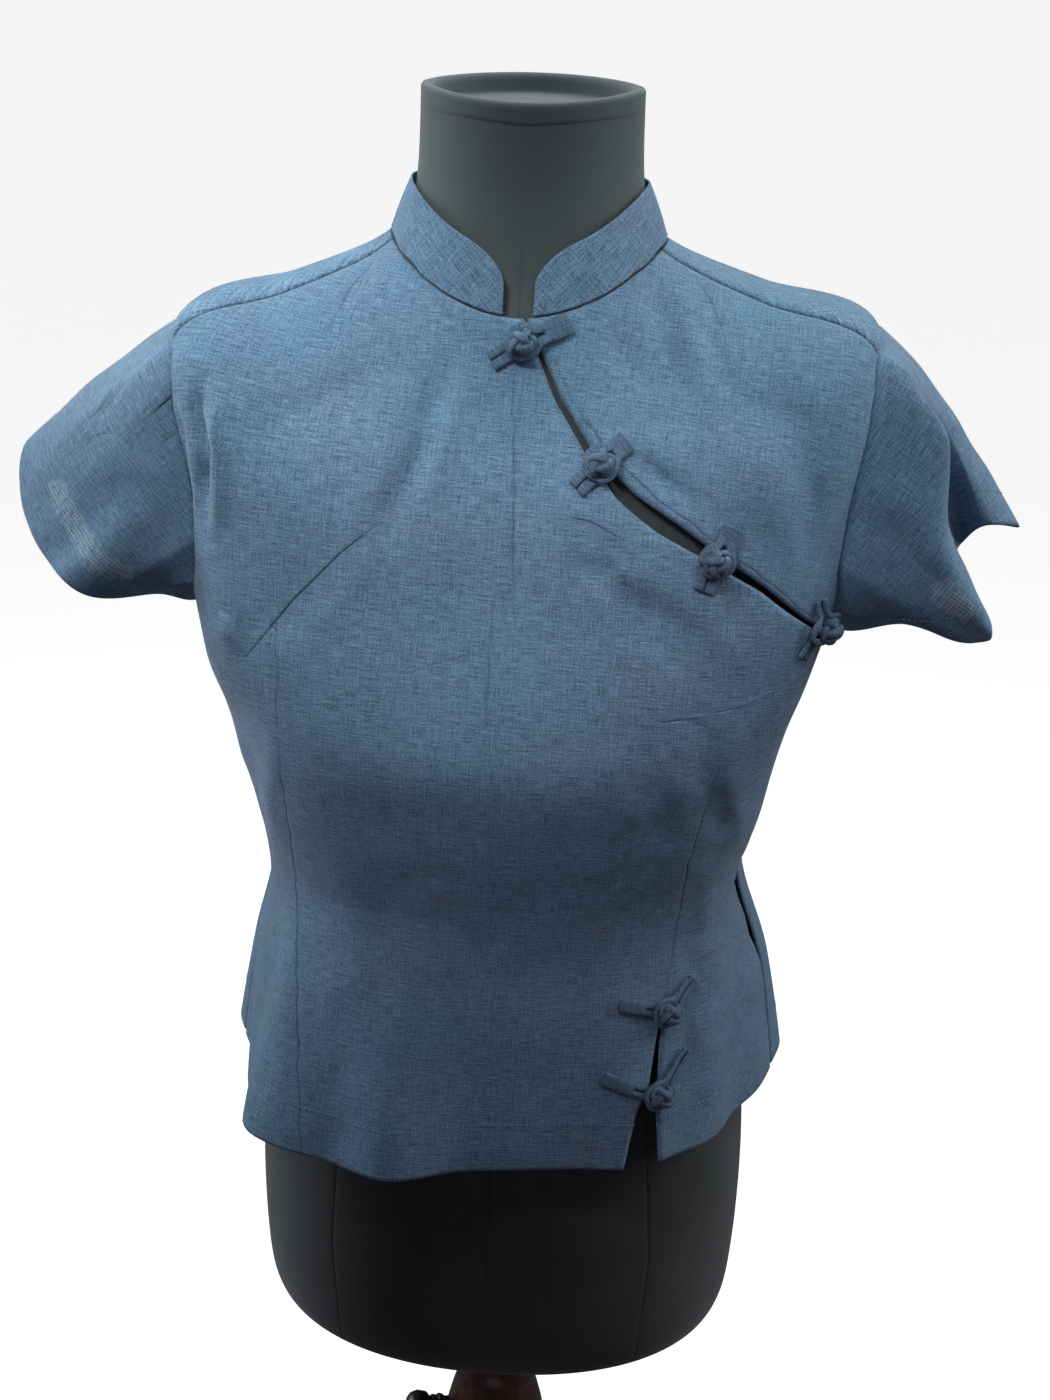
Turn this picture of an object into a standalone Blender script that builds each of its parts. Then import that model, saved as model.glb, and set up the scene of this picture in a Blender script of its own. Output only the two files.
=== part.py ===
"""Short-sleeved top with a mandarin collar, worn by a limbless dress form on a turned stand.

Metres, +Z up. The wearer's front faces -Y and the wearer's left is +X. The origin is the
middle of the stand's underside. Sizes in the tables below are millimetres.
"""

import math
from collections import namedtuple
from functools import lru_cache

import bmesh
import bpy
from mathutils import Vector
from mathutils.bvhtree import BVHTree

MM = 0.001
COLLECTION = "mandarin_collar_top"
HELPERS = "joining_helpers"

WALL = 1.5
SEAM_GAP = 0.3
HALF_TURN = 180.0

# One row for each level ring round the dress form, from its underside up to its neck.
# height is at the wearer's side; the drops lower the ring's front and back centres.
# The ease columns and lift are what the cloth stands off the form.
Ring = namedtuple(
    "Ring",
    "name height front_drop back_drop half_width front back square"
    " ease_side ease_front ease_back lift",
)
RINGS = [
    Ring("underside", 300, 0, 0, 110, 72, 68, 2.2, 0, 0, 0, 0),
    Ring("lower edge", 305, 0, 0, 134, 89, 85, 2.2, 0, 0, 0, 0),
    Ring("lower turn", 326, 0, 0, 149, 101, 97, 2.25, 0, 0, 0, 0),
    Ring("lower hip", 366, 0, 0, 154, 106, 104, 2.3, 0, 0, 0, 0),
    Ring("hip", 430, 0, 0, 155, 109, 109, 2.3, 15, 24, 22, 0),
    Ring("hem line", 491, 0, 0, 151, 108, 108, 2.3, 15, 22, 20, 0),
    Ring("high hip", 558, 0, 0, 140, 102, 98, 2.3, 18, 17, 17, 0),
    Ring("waist", 627, 0, 0, 127, 94, 80, 2.3, 20, 18, 14, 0),
    Ring("under bust", 696, 2, 0, 141, 108, 92, 2.35, 20, 18, 10, 0),
    Ring("bust", 744, 10, 0, 154, 124, 101, 2.45, 16, 9, 8, 0),
    Ring("underarm", 792, 24, 0, 174, 117, 107, 2.6, 10, 9, 8, 0),
    Ring("chest", 880, 62, 16, 182, 103, 108, 2.9, 10, 8, 6, 1),
    Ring("shoulder tip", 961.5, 95, 46, 184, 95, 101, 2.9, 11, 6, 6, 2.8),
    Ring("mid shoulder", 983.5, 65, 32, 131, 80, 86, 2.4, 1.6, 3.6, 2.4, 2.4),
    Ring("near neck", 997, 45, 14, 93, 71, 69, 2.15, 1.0, 3.0, 2.0, 2.2),
    Ring("neck seam", 1006, 33, 2, 74, 66, 58, 2.0, 1.6, 3.0, 2.4, 2.2),
    Ring("neck foot", 1017, 26, 0, 65, 59, 53, 2.0, 0, 0, 0, 0),
    Ring("neck", 1045, 12, 0, 61, 55, 51, 2.0, 0, 0, 0, 0),
    Ring("upper neck", 1080, 5, -2, 60, 54, 51, 2.0, 0, 0, 0, 0),
]
STATION = {ring.name: index for index, ring in enumerate(RINGS)}

# How much lower the wearer's right shoulder lies than the left, by station.
RIGHT_SHOULDER_DROP = [
    (STATION["underarm"], 0),
    (STATION["shoulder tip"], 9),
    (STATION["mid shoulder"], 5),
    (STATION["neck seam"], 0),
]


def between(low, high, t):
    return low + (high - low) * t


def read_table(table, key, column=1):
    """Value of a column where the first column, which rises, passes key."""
    for low, high in zip(table, table[1:]):
        if key <= high[0]:
            share = max(0.0, (key - low[0]) / (high[0] - low[0]))
            return between(low[column], high[column], share)
    return table[-1][column]


def spline(values, s):
    """Smooth value at the fractional row s of a column."""
    last = len(values) - 1
    low = max(0, min(int(math.floor(s)), last - 1))
    t = s - low
    before = values[max(low - 1, 0)]
    start = values[low]
    end = values[low + 1]
    after = values[min(low + 2, last)]
    slope_in = (end - before) / 2
    slope_out = (after - start) / 2
    t2 = t * t
    t3 = t2 * t
    return (
        start * (2 * t3 - 3 * t2 + 1)
        + slope_in * (t3 - 2 * t2 + t)
        + end * (3 * t2 - 2 * t3)
        + slope_out * (t3 - t2)
    )


@lru_cache(maxsize=None)
def ring_at(s):
    """The ring at the fractional station s."""
    columns = [spline([row[i] for row in RINGS], s) for i in range(1, len(Ring._fields))]
    return Ring("between", *columns)


def ring_sizes(s, eased):
    """Half width, front, back and height of the ring at s, with the cloth's ease or without."""
    ring = ring_at(s)
    return (
        ring.half_width + eased * ring.ease_side,
        ring.front + eased * ring.ease_front,
        ring.back + eased * ring.ease_back,
        ring.height + eased * ring.lift,
        ring,
    )


def ring_point(s, angle, eased=1.0):
    """Point of a ring, in millimetres; angle 0 is the front centre and 90 the wearer's left."""
    half_width, front, back, height, ring = ring_sizes(s, eased)
    sine = math.sin(math.radians(angle))
    cosine = math.cos(math.radians(angle))
    power = 2 / ring.square
    depth = front if cosine > 0 else back
    drop = ring.front_drop if cosine > 0 else ring.back_drop
    if sine < 0:
        height -= read_table(RIGHT_SHOULDER_DROP, s) * sine * sine
    return Vector(
        (
            math.copysign(abs(sine) ** power, sine) * half_width,
            -math.copysign(abs(cosine) ** power, cosine) * depth,
            height - drop * cosine * cosine,
        )
    )


# The largest folds of the cloth body: ridges (+) and troughs (-) along straight lines.
# Angles are degrees round the body, heights and the other sizes are millimetres.
Fold = namedtuple("Fold", "name top_angle top_height low_angle low_height width top_rise low_rise")
FOLDS = [
    Fold("right front flare", -30, 640, -30, 480, 58, 0, 31),
    Fold("hem wave by the front", -14, 600, -14, 480, 20, 0, 14),
    Fold("dip beside the wave", -27, 600, -28, 480, 18, 0, -6),
    Fold("right front corner", -50, 640, -48, 480, 24, 0, 14),
    Fold("right side hollow", -84, 600, -82, 480, 26, 0, -6),
    Fold("vent edge flare", 27, 600, 27, 480, 22, 0, 8),
    Fold("left front hollow", 64, 640, 66, 480, 32, 0, -10),
    Fold("left back corner", 101, 640, 102, 480, 30, 2, 15),
    Fold("right back corner", -100, 640, -100, 480, 30, 2, 14),
    Fold("left back hem wave", 150, 620, 148, 480, 34, 0, 9),
    Fold("right back hem wave", -152, 620, -150, 480, 34, 0, 9),
    Fold("right collar trough", -36, 925, -42, 860, 20, -2.5, -1),
    Fold("left chest trough", 46, 925, 38, 870, 18, -3, -1),
    Fold("right armhole fold", -63, 905, -70, 830, 9, -3, -2),
    Fold("right bust ridge", -52, 800, -78, 745, 16, 3, 1),
    Fold("left side hollow", 84, 770, 88, 650, 48, -9, -10),
]
ROUND_LENGTH_PER_DEGREE = 2.6


def fold_rise(angle, height):
    """How far the folds push the cloth outwards at this place."""
    rise = 0.0
    for fold in FOLDS:
        start = Vector((fold.top_angle * ROUND_LENGTH_PER_DEGREE, fold.top_height))
        run = Vector((fold.low_angle * ROUND_LENGTH_PER_DEGREE, fold.low_height)) - start
        turned = (angle + HALF_TURN) % (2 * HALF_TURN) - HALF_TURN
        place = Vector((turned * ROUND_LENGTH_PER_DEGREE, height)) - start
        along = max(0.0, min(1.0, place.dot(run) / run.length_squared))
        away = (place - run * along).length / fold.width
        strength = fold.top_rise + (fold.low_rise - fold.top_rise) * along
        rise += strength * math.exp(-away * away)
    return rise


def outward(s, angle, eased=1.0):
    """Unit vector square to the plain body surface."""
    step = 0.02
    turn = 0.8
    up = ring_point(s + step, angle, eased) - ring_point(s - step, angle, eased)
    across = ring_point(s, angle + turn, eased) - ring_point(s, angle - turn, eased)
    return across.cross(up).normalized()


def cloth_point(s, angle):
    """Point of the cloth's outer surface, in millimetres."""
    base = ring_point(s, angle)
    return base + outward(s, angle) * fold_rise(angle, base.z)


def cloth_normal(s, angle):
    """Unit vector square to the cloth's outer surface, folds included."""
    step = 0.03
    turn = 1.0
    up = cloth_point(s + step, angle) - cloth_point(s - step, angle)
    across = cloth_point(s, angle + turn) - cloth_point(s, angle - turn)
    return across.cross(up).normalized()


# The lines that the panels are cut along, as rows of a height and a place on that line.
# x runs to the wearer's left and y to the back, in millimetres.
DIAGONAL = [(790, 184), (816, 166), (841, 137), (857, 112), (873, 85), (888, 62), (909, 41), (935, 23), (974, 4)]
DIAGONAL_GAP = [(790, 2.4), (841, 2.8), (857, 4.0), (873, 6.5), (888, 5.0), (909, 2.2), (974, 1.6)]
LEFT_DART = [(480, 99), (526, 95), (560, 96), (612, 100), (681, 106), (744, 119)]
VENT_GAP = [(480, 22), (521, 12), (540, 5), (560, 3), (590, 0.6)]
VENT_TOP = 590
RIGHT_DART = [(480, -107), (571, -115), (612, -119), (681, -121), (744, -125)]

# How far the armhole and shoulder seams lie in front of and behind the shoulder's ridge,
# by their share of the way up from the underarm to the shoulder tip, then to the neck.
ArmholeRow = namedtuple("ArmholeRow", "share front_y back_y")
ARMHOLE = [
    ArmholeRow(0.0, 0, 0),
    ArmholeRow(0.06, -30, 32),
    ArmholeRow(0.16, -50, 52),
    ArmholeRow(0.34, -60, 62),
    ArmholeRow(0.62, -57, 62),
    ArmholeRow(0.86, -53, 54),
    ArmholeRow(0.97, -45, 36),
    ArmholeRow(1.0, -38, 20),
]
SHOULDER_SEAM_Y = [(0.0, -38), (0.35, -27), (0.7, -21), (1.0, -18)]

# Stations of the cloth's rows: the hem, the body, the armhole and the shoulder.
HEM = STATION["hem line"]
UNDERARM = STATION["underarm"]
SHOULDER_TIP = STATION["shoulder tip"]
NECK_SEAM = STATION["neck seam"]
BODY_ROWS = [HEM + k / 2.5 for k in range(0, 12)] + [UNDERARM - 0.25]
ARM_ROWS = [UNDERARM + (SHOULDER_TIP - UNDERARM) * k for k in (0.06, 0.16, 0.28, 0.42, 0.57, 0.72, 0.86)]
TOP_ROWS = [SHOULDER_TIP + (NECK_SEAM - SHOULDER_TIP) * k / 7 for k in range(0, 8)]
CLOTH_ROWS = BODY_ROWS + [UNDERARM] + ARM_ROWS + TOP_ROWS


def angle_at_y(s, y):
    """Angle on the wearer's left where the ring at s passes this y."""
    _, front, back, _, ring = ring_sizes(s, 1.0)
    depth = front if y < 0 else back
    cosine = (min(abs(y) / depth, 1.0)) ** (ring.square / 2)
    return math.degrees(math.acos(math.copysign(cosine, -y)))


def angle_on_line(s, line, low=-89.9, high=89.9):
    """Angle at which the front of the ring at s crosses a line of heights and x."""
    for _ in range(30):
        middle = (low + high) / 2
        point = ring_point(s, middle)
        if point.x < read_table(line, point.z):
            low = middle
        else:
            high = middle
    return (low + high) / 2


def side_angles(s):
    """Where the front ends and the back begins at station s, on the wearer's left."""
    if s <= UNDERARM:
        return 90.0, 90.0
    if s < SHOULDER_TIP:
        share = (s - UNDERARM) / (SHOULDER_TIP - UNDERARM)
        return angle_at_y(s, read_table(ARMHOLE, share, 1)), angle_at_y(s, read_table(ARMHOLE, share, 2))
    share = (s - SHOULDER_TIP) / (NECK_SEAM - SHOULDER_TIP)
    seam = angle_at_y(s, read_table(SHOULDER_SEAM_Y, share))
    return seam, seam


def gap_angle(s, gap):
    """Angle that a gap of this many millimetres takes at the side of a ring."""
    return math.degrees(gap / ring_sizes(s, 1.0)[2])


# The finishes of the piece's materials.
Finish = namedtuple("Finish", "color roughness metallic")
CLOTH = Finish((0.075, 0.135, 0.205), 0.85, 0.0)
COVER = Finish((0.012, 0.014, 0.014), 0.9, 0.0)
WOOD = Finish((0.05, 0.018, 0.009), 0.25, 0.0)
METAL = Finish((0.06, 0.055, 0.05), 0.4, 1.0)


def new_material(name, finish):
    material = bpy.data.materials.new(name)
    material.use_nodes = True
    shader = material.node_tree.nodes["Principled BSDF"]
    shader.inputs["Base Color"].default_value = (*finish.color, 1)
    shader.inputs["Roughness"].default_value = finish.roughness
    shader.inputs["Metallic"].default_value = finish.metallic
    return material


def add_object(name, mesh, finish):
    """Put a mesh into the part's collection under its node's name, with its own material."""
    obj = bpy.data.objects.new(name, mesh)
    bpy.data.collections[COLLECTION].objects.link(obj)
    mesh.materials.append(new_material(name, finish))
    return obj


def mesh_from_rows(name, rows, inner_rows=None, closed=False, slit=None):
    """A mesh of quads through rows of points in millimetres.

    With inner_rows it is a closed wall between the two sheets. closed joins each row's
    ends, and slit is a column with no faces after it. Points that coincide become one.
    """
    numbers = {}
    sheets = []
    for sheet in [rows] + ([inner_rows] if inner_rows else []):
        layer = len(sheets)
        places = [[(layer, *(round(c, 3) for c in point)) for point in row] for row in sheet]
        sheets.append([[numbers.setdefault(place, len(numbers)) for place in row] for row in places])
    outer = quads_of(sheets[0], closed, slit)
    faces = list(outer)
    if inner_rows:
        faces += [face[::-1] for face in quads_of(sheets[1], closed, slit)]
        twin = {a: b for low, high in zip(*sheets) for a, b in zip(low, high)}
        sides = {(a, b) for face in outer for a, b in zip(face, face[1:] + face[:1])}
        faces += [(b, a, twin[a], twin[b]) for a, b in sorted(sides) if (b, a) not in sides]
    mesh = bpy.data.meshes.new(name)
    mesh.from_pydata([Vector(place[1:]) * MM for place in numbers], [], faces)
    split_into_triangles(mesh)
    mesh.shade_smooth()
    mesh.set_sharp_from_angle(angle=math.radians(SHARP_ANGLE))
    return mesh


def split_into_triangles(mesh):
    """Split each four-sided face along its shorter diagonal, since few of them are flat."""
    builder = bmesh.new()
    builder.from_mesh(mesh)
    bmesh.ops.triangulate(builder, faces=builder.faces, quad_method="SHORT_EDGE")
    builder.to_mesh(mesh)
    builder.free()


def quads_of(rows, closed, slit):
    """Faces between numbered rows, without repeated corners."""
    faces = []
    for low, high in zip(rows, rows[1:]):
        count = len(low)
        for column in range(count if closed else count - 1):
            if column == slit:
                continue
            following = (column + 1) % count
            corners = (low[column], low[following], high[following], high[column])
            kept = tuple(dict.fromkeys(corners))
            if len(kept) > 2:
                faces.append(kept)
    return faces


def panel(name, rows, slit=None):
    """A cloth panel from rows of (station, angle), with its wall inside its outer surface."""
    outer = [[cloth_point(s, angle) for s, angle in row] for row in rows]
    inner = [
        [point - cloth_normal(s, angle) * WALL for point, (s, angle) in zip(points, row)]
        for points, row in zip(outer, rows)
    ]
    return add_object(name, mesh_from_rows(name, outer, inner, slit=slit), CLOTH)


def front_columns(marks):
    """Angles of a row of the front: even steps between its sides, its darts and the vent."""
    angles = [marks[0]]
    for low, high, count in zip(marks, marks[1:], FRONT_COUNTS):
        angles += [between(low, high, k / count) for k in range(1, count + 1)]
    return angles


FRONT_COUNTS = (4, 13, 1, 5)
LEFT_CHEST_STEPS = 9
BACK_STEPS = 20
SHARP_ANGLE = 40
DART_COLUMN = FRONT_COUNTS[0] + FRONT_COUNTS[1]


def dart_shares():
    """Shares of the front's width at which the darts stand at their tips."""
    tip = STATION["bust"]
    right = (angle_on_line(tip, RIGHT_DART) + 90) / HALF_TURN
    left = (angle_on_line(tip, LEFT_DART) + 90) / HALF_TURN
    return right, left


def front_row(s):
    """Angles of the front at station s, from the wearer's right side to its left edge."""
    seam, _ = side_angles(s)
    right_limit = -seam + gap_angle(s, SEAM_GAP / 2)
    if s <= UNDERARM:
        left_limit = seam - gap_angle(s, SEAM_GAP / 2)
    else:
        left_limit = angle_on_line(s, DIAGONAL)
        gap = read_table(DIAGONAL_GAP, ring_point(s, left_limit).z)
        left_limit -= gap_angle(s, gap / 2)
    if s <= STATION["bust"]:
        right_dart = angle_on_line(s, RIGHT_DART)
        left_dart = angle_on_line(s, LEFT_DART)
    else:
        right_share, left_share = dart_shares()
        right_dart = between(right_limit, left_limit, right_share)
        left_dart = between(right_limit, left_limit, left_share)
    vent_edge = left_dart - gap_angle(s, vent_gap(ring_point(s, left_dart).z))
    angles = front_columns([right_limit, right_dart, vent_edge, left_dart, left_limit])
    return [(s, angle) for angle in angles]


def vent_gap(height):
    return read_table(VENT_GAP, height) if height < VENT_TOP else 0.0


def make_front():
    """The front, down to the hem, with the vent at the foot of its left dart."""
    rows = [front_row(s) for s in CLOTH_ROWS]
    return panel("front", rows, slit=DART_COLUMN)


def make_left_chest():
    """The wearer's left chest piece, above the slanting opening."""
    rows = []
    for s in ARM_ROWS + TOP_ROWS:
        seam, _ = side_angles(s)
        edge = angle_on_line(s, DIAGONAL)
        edge += gap_angle(s, read_table(DIAGONAL_GAP, ring_point(s, edge).z) / 2)
        last = seam - gap_angle(s, SEAM_GAP / 2)
        count = LEFT_CHEST_STEPS
        rows.append([(s, between(edge, last, k / count)) for k in range(count + 1)])
    return panel("left_chest", rows)


def make_back():
    """The back, which comes over the shoulders to the seams in front of their ridges."""
    rows = []
    for s in CLOTH_ROWS:
        _, seam = side_angles(s)
        first = seam + gap_angle(s, SEAM_GAP / 2)
        last = 2 * HALF_TURN - first
        rows.append([(s, between(first, last, k / BACK_STEPS)) for k in range(BACK_STEPS + 1)])
    return panel("back", rows)


def armhole_loop(side):
    """Points and wall directions round an armhole, from the underarm up the front.

    side is 1 on the wearer's left and -1 on the right.
    """
    front = []
    back = []
    for s in ARM_ROWS:
        front_angle, back_angle = side_angles(s)
        front.append((s, front_angle))
        back.append((s, back_angle))
    top = (SHOULDER_TIP, side_angles(SHOULDER_TIP)[1])
    places = [(UNDERARM, 90)] + front + [top] + back[::-1]
    points = [cloth_point(s, angle * side) for s, angle in places]
    normals = [cloth_normal(s, angle * side) for s, angle in places]
    return points, normals


# The sleeves' hems, by the share of the way round from the underarm, up the front.
# out is the distance from the body's middle, y and height are places, all in millimetres.
HemPoint = namedtuple("HemPoint", "share out y height")
RIGHT_SLEEVE_HEM = [
    HemPoint(0.0, 190, 0, 790),
    HemPoint(0.1, 206, -44, 806),
    HemPoint(0.2, 238, -62, 808),
    HemPoint(0.31, 268, -50, 828),
    HemPoint(0.41, 286, -26, 853),
    HemPoint(0.5, 289, 2, 877),
    HemPoint(0.62, 280, 36, 866),
    HemPoint(0.76, 254, 56, 842),
    HemPoint(0.88, 214, 44, 814),
]
LEFT_SLEEVE_HEM = [
    HemPoint(0.0, 191, 0, 788),
    HemPoint(0.1, 222, -38, 806),
    HemPoint(0.19, 256, -60, 806),
    HemPoint(0.27, 264, -62, 816),
    HemPoint(0.4, 248, -20, 846),
    HemPoint(0.52, 268, 4, 856),
    HemPoint(0.61, 288, 22, 853),
    HemPoint(0.76, 256, 56, 836),
    HemPoint(0.88, 216, 44, 808),
]
SLEEVE_STEPS = 8
RIGHT_FULLNESS = 5
LEFT_FULLNESS = 15
SEAM_STEP = 0.5


def loop_point(table, share):
    """Smooth point of a closed table of hem points at a share of the way round."""
    count = len(table)
    shares = [row.share for row in table] + [1.0]
    place = max(k for k in range(count) if shares[k] <= share + 1e-9)
    t = (share - shares[place]) / (shares[place + 1] - shares[place])
    columns = []
    for column in (1, 2, 3):
        values = [table[(place + k) % count][column] for k in (-1, 0, 1, 2)]
        columns.append(spline(values, 1 + t))
    return Vector(columns)


def make_sleeve(name, side, hem, fullness):
    """A short flared sleeve between an armhole and its hem, fuller over the shoulder."""
    start, seam_normals = armhole_loop(side)
    count = len(start)
    lengths = [0.0]
    for first, second in zip(start, start[1:] + start[:1]):
        lengths.append(lengths[-1] + (second - first).length)
    rows = []
    for step in range(SLEEVE_STEPS + 1):
        along = step / SLEEVE_STEPS
        row = []
        for first, length in zip(start, lengths):
            share = length / lengths[-1]
            last = loop_point(hem, share)
            last.x *= side
            run = last - first
            reach = SEAM_STEP / run.length
            point = first + run * (reach + (1 - reach) * along)
            point.z += fullness * math.sin(math.pi * along) * math.sin(math.pi * share) ** 3
            row.append(point)
        rows.append(row)
    inner = []
    for step, row in enumerate(rows):
        walls = []
        for k, point in enumerate(row):
            around = row[(k + 1) % count] - row[k - 1]
            outwards = rows[min(step + 1, SLEEVE_STEPS)][k] - rows[max(step - 1, 0)][k]
            normal = outwards.cross(around).normalized() * side
            if step == 0:
                normal = (normal + seam_normals[k]).normalized()
            walls.append(point - normal * WALL)
        inner.append(walls)
    if side > 0:
        rows = [row[::-1] for row in rows]
        inner = [row[::-1] for row in inner]
    return add_object(name, mesh_from_rows(name, rows, inner, closed=True), CLOTH)


# The collar's upper edge, as a ring: its height at the sides and how far it drops in front.
COLLAR_TOP = Ring("collar top", 1038, 31, 0, 64.5, 63, 57, 2.0, 0, 0, 0, 0)
COLLAR_HEIGHT = 38
COLLAR_CORNER = 23
COLLAR_FRONT_ANGLE = 6.2
COLLAR_STEPS = 30
COLLAR_ROWS = 5
COLLAR_CROWDING = 0.1


def collar_point(angle, share):
    """Point of the collar between its seam and its upper edge."""
    foot = cloth_point(NECK_SEAM, angle) + Vector((0, 0, 1.2 * SEAM_GAP))
    sine = math.sin(math.radians(angle))
    cosine = math.cos(math.radians(angle))
    depth = COLLAR_TOP.front if cosine > 0 else COLLAR_TOP.back
    drop = COLLAR_TOP.front_drop if cosine > 0 else COLLAR_TOP.back_drop
    top = Vector(
        (COLLAR_TOP.half_width * sine, -depth * cosine, COLLAR_TOP.height - drop * cosine * cosine)
    )
    return foot.lerp(top, share)


def make_collar():
    """A band that stands round the neck, with rounded front corners and a gap between them."""
    columns = []
    inner_columns = []
    for step in range(COLLAR_STEPS + 1):
        t = step / COLLAR_STEPS
        eased = t - COLLAR_CROWDING * math.sin(2 * math.pi * t)
        angle = between(COLLAR_FRONT_ANGLE, 2 * HALF_TURN - COLLAR_FRONT_ANGLE, eased)
        turned = max(0.0, min(angle, 2 * HALF_TURN - angle) - COLLAR_FRONT_ANGLE)
        inset = max(0.0, COLLAR_CORNER - math.radians(turned) * COLLAR_TOP.half_width)
        height = COLLAR_HEIGHT - COLLAR_CORNER + math.sqrt(COLLAR_CORNER**2 - inset**2)
        reach = height / COLLAR_HEIGHT
        columns.append([collar_point(angle, reach * k / COLLAR_ROWS) for k in range(COLLAR_ROWS + 1)])
        inwards = Vector((-math.sin(math.radians(angle)), math.cos(math.radians(angle)), 0))
        inner_columns.append([point + inwards * WALL for point in columns[-1]])
    rows = [list(row) for row in zip(*columns)]
    inner = [list(row) for row in zip(*inner_columns)]
    return add_object("collar", mesh_from_rows("collar", rows, inner), CLOTH)


# The form's hollow neck top, as shares of its upper ring and depths under the rim.
RIM = [(1.0, 5.0), (0.97, 6.0), (0.9, 6.2), (0.84, 4.5), (0.81, -3.0)]
FORM_STEPS = 28
LOWER_ROWS = [0, 0.5, 1, 1.5, 2, 2.5, 3, 4, 4.5]
NECK_ROWS = [NECK_SEAM + k / 2 for k in range(1, 7)]


def make_form():
    """The padded body: rings from its flat underside to the neck, then the dished top."""
    stations = LOWER_ROWS + CLOTH_ROWS + NECK_ROWS
    angles = [2 * HALF_TURN * k / FORM_STEPS for k in range(FORM_STEPS)]
    rows = [[ring_point(s, angle, 0.0) for angle in angles] for s in stations]
    top = rows[-1]
    middle = sum(top, Vector()) / len(top)
    for share, rise in RIM:
        rows.append([middle.lerp(point, share) + Vector((0, 0, rise)) for point in top])
    mesh = mesh_from_rows("form_torso", rows, closed=True)
    close_ends(mesh)
    return add_object("form_torso", mesh, COVER)


def close_ends(mesh):
    """Fill the open rings at the two ends of a tube, with the faces pointing out."""
    builder = bmesh.new()
    builder.from_mesh(mesh)
    bmesh.ops.holes_fill(builder, edges=builder.edges, sides=0)
    bmesh.ops.recalc_face_normals(builder, faces=builder.faces)
    builder.to_mesh(mesh)
    builder.free()


# The frog fastenings on the front: the button knot and the far ends of its two straps.
# The straps are folded cloth strips, sewn to either side of an opening.
Frog = namedtuple("Frog", "name knot_x knot_z knot_end_x knot_end_z loop_end_x loop_end_z width")
FROGS = [
    Frog("frog_1", 3, 963, -13, 953, 26, 973, 10),
    Frog("frog_2", 47, 904, 35, 892, 60, 916, 9.5),
    Frog("frog_3", 110, 858, 104, 842, 118, 875, 9.5),
    Frog("frog_4", 170, 813, 160, 799, 168, 830, 8),
    Frog("frog_5", 98, 582, 72, 591, 113, 597, 8),
    Frog("frog_6", 96, 534, 64, 548, 112, 555, 8),
]
STRAP_LIFT = 0.5
STRAP_THICK = 1.7
STRAP_CROWN = 0.5
STRAP_STEPS = 5
KNOT_RADIUS = 6.9
KNOT_FLATNESS = 0.86
KNOT_RISE = 7.8
LOOP_RADIUS = 7.6
LOOP_THICK = 1.3
LOOP_RISE = 4.4
LOOP_STRAP_RISE = 3.1
LOOP_STEPS = 14
LOOP_SIDES = 6


def seat_finder(panels):
    """A function that gives the outermost cloth point and its direction at an x and height."""
    trees = []
    for obj in panels:
        points = [vertex.co / MM for vertex in obj.data.vertices]
        faces = [tuple(polygon.vertices) for polygon in obj.data.polygons]
        trees.append(BVHTree.FromPolygons(points, faces))
    whole = [[cloth_point(s, angle) for angle in range(-90, 91, 5)] for s in CLOTH_ROWS]
    numbered = [[row * len(whole[0]) + k for k in range(len(whole[0]))] for row in range(len(whole))]
    points = [point for row in whole for point in row]
    trees.append(BVHTree.FromPolygons(points, quads_of(numbered, False, None)))

    def seat(x, height):
        hits = []
        for tree in trees:
            place, normal, _, _ = tree.ray_cast(Vector((x, -400, height)), Vector((0, 1, 0)))
            if place is not None:
                hits.append((place.y, place, normal if normal.y < 0 else -normal))
        _, place, normal = min(hits, key=lambda hit: hit[0])
        return place, normal

    return seat


def strap_mesh(name, seat, start, end, width, lift_at_end):
    """A folded strip on the cloth from start to end, each an (x, height), rising at its end."""
    run = Vector((end[0] - start[0], end[1] - start[1]))
    side = Vector((-run.y, run.x)).normalized() * (width / 2)
    rings = []
    for step in range(STRAP_STEPS + 1):
        t = step / STRAP_STEPS
        middle = Vector(start) + run * t
        rise = STRAP_LIFT + lift_at_end * max(0.0, (t - 0.45) / 0.55) ** 1.5
        low = []
        high = []
        for across in (-1, 0, 1):
            spot = middle + side * across
            place, normal = seat(spot.x, spot.y)
            crown = STRAP_CROWN if across == 0 else 0.0
            low.append(place + normal * rise)
            high.append(place + normal * (rise + STRAP_THICK + crown))
        rings.append(low + high[::-1])
    mesh = mesh_from_rows(name, rings, closed=True)
    close_ends(mesh)
    return mesh


def joined(name, meshes):
    """One solid from meshes that overlap."""
    base = add_object(name, meshes[0], CLOTH)
    for number, mesh in enumerate(meshes[1:]):
        helper = bpy.data.objects.new(f"{name}_joined_{number}", mesh)
        bpy.data.collections[HELPERS].objects.link(helper)
        helper.hide_render = True
        helper.display_type = "WIRE"
        union = base.modifiers.new("join", "BOOLEAN")
        union.operation = "UNION"
        union.object = helper
    return base


def knot_mesh(centre, normal):
    """The button knot, a little flattened towards the cloth."""
    builder = bmesh.new()
    bmesh.ops.create_icosphere(builder, subdivisions=2, radius=KNOT_RADIUS * MM)
    turn = normal.to_track_quat("Z", "Y").to_matrix().to_4x4()
    bmesh.ops.scale(builder, vec=(1, 1, KNOT_FLATNESS), verts=builder.verts)
    bmesh.ops.transform(builder, matrix=turn, verts=builder.verts)
    bmesh.ops.translate(builder, vec=centre * MM, verts=builder.verts)
    mesh = bpy.data.meshes.new("knot")
    builder.to_mesh(mesh)
    builder.free()
    return mesh


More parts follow.
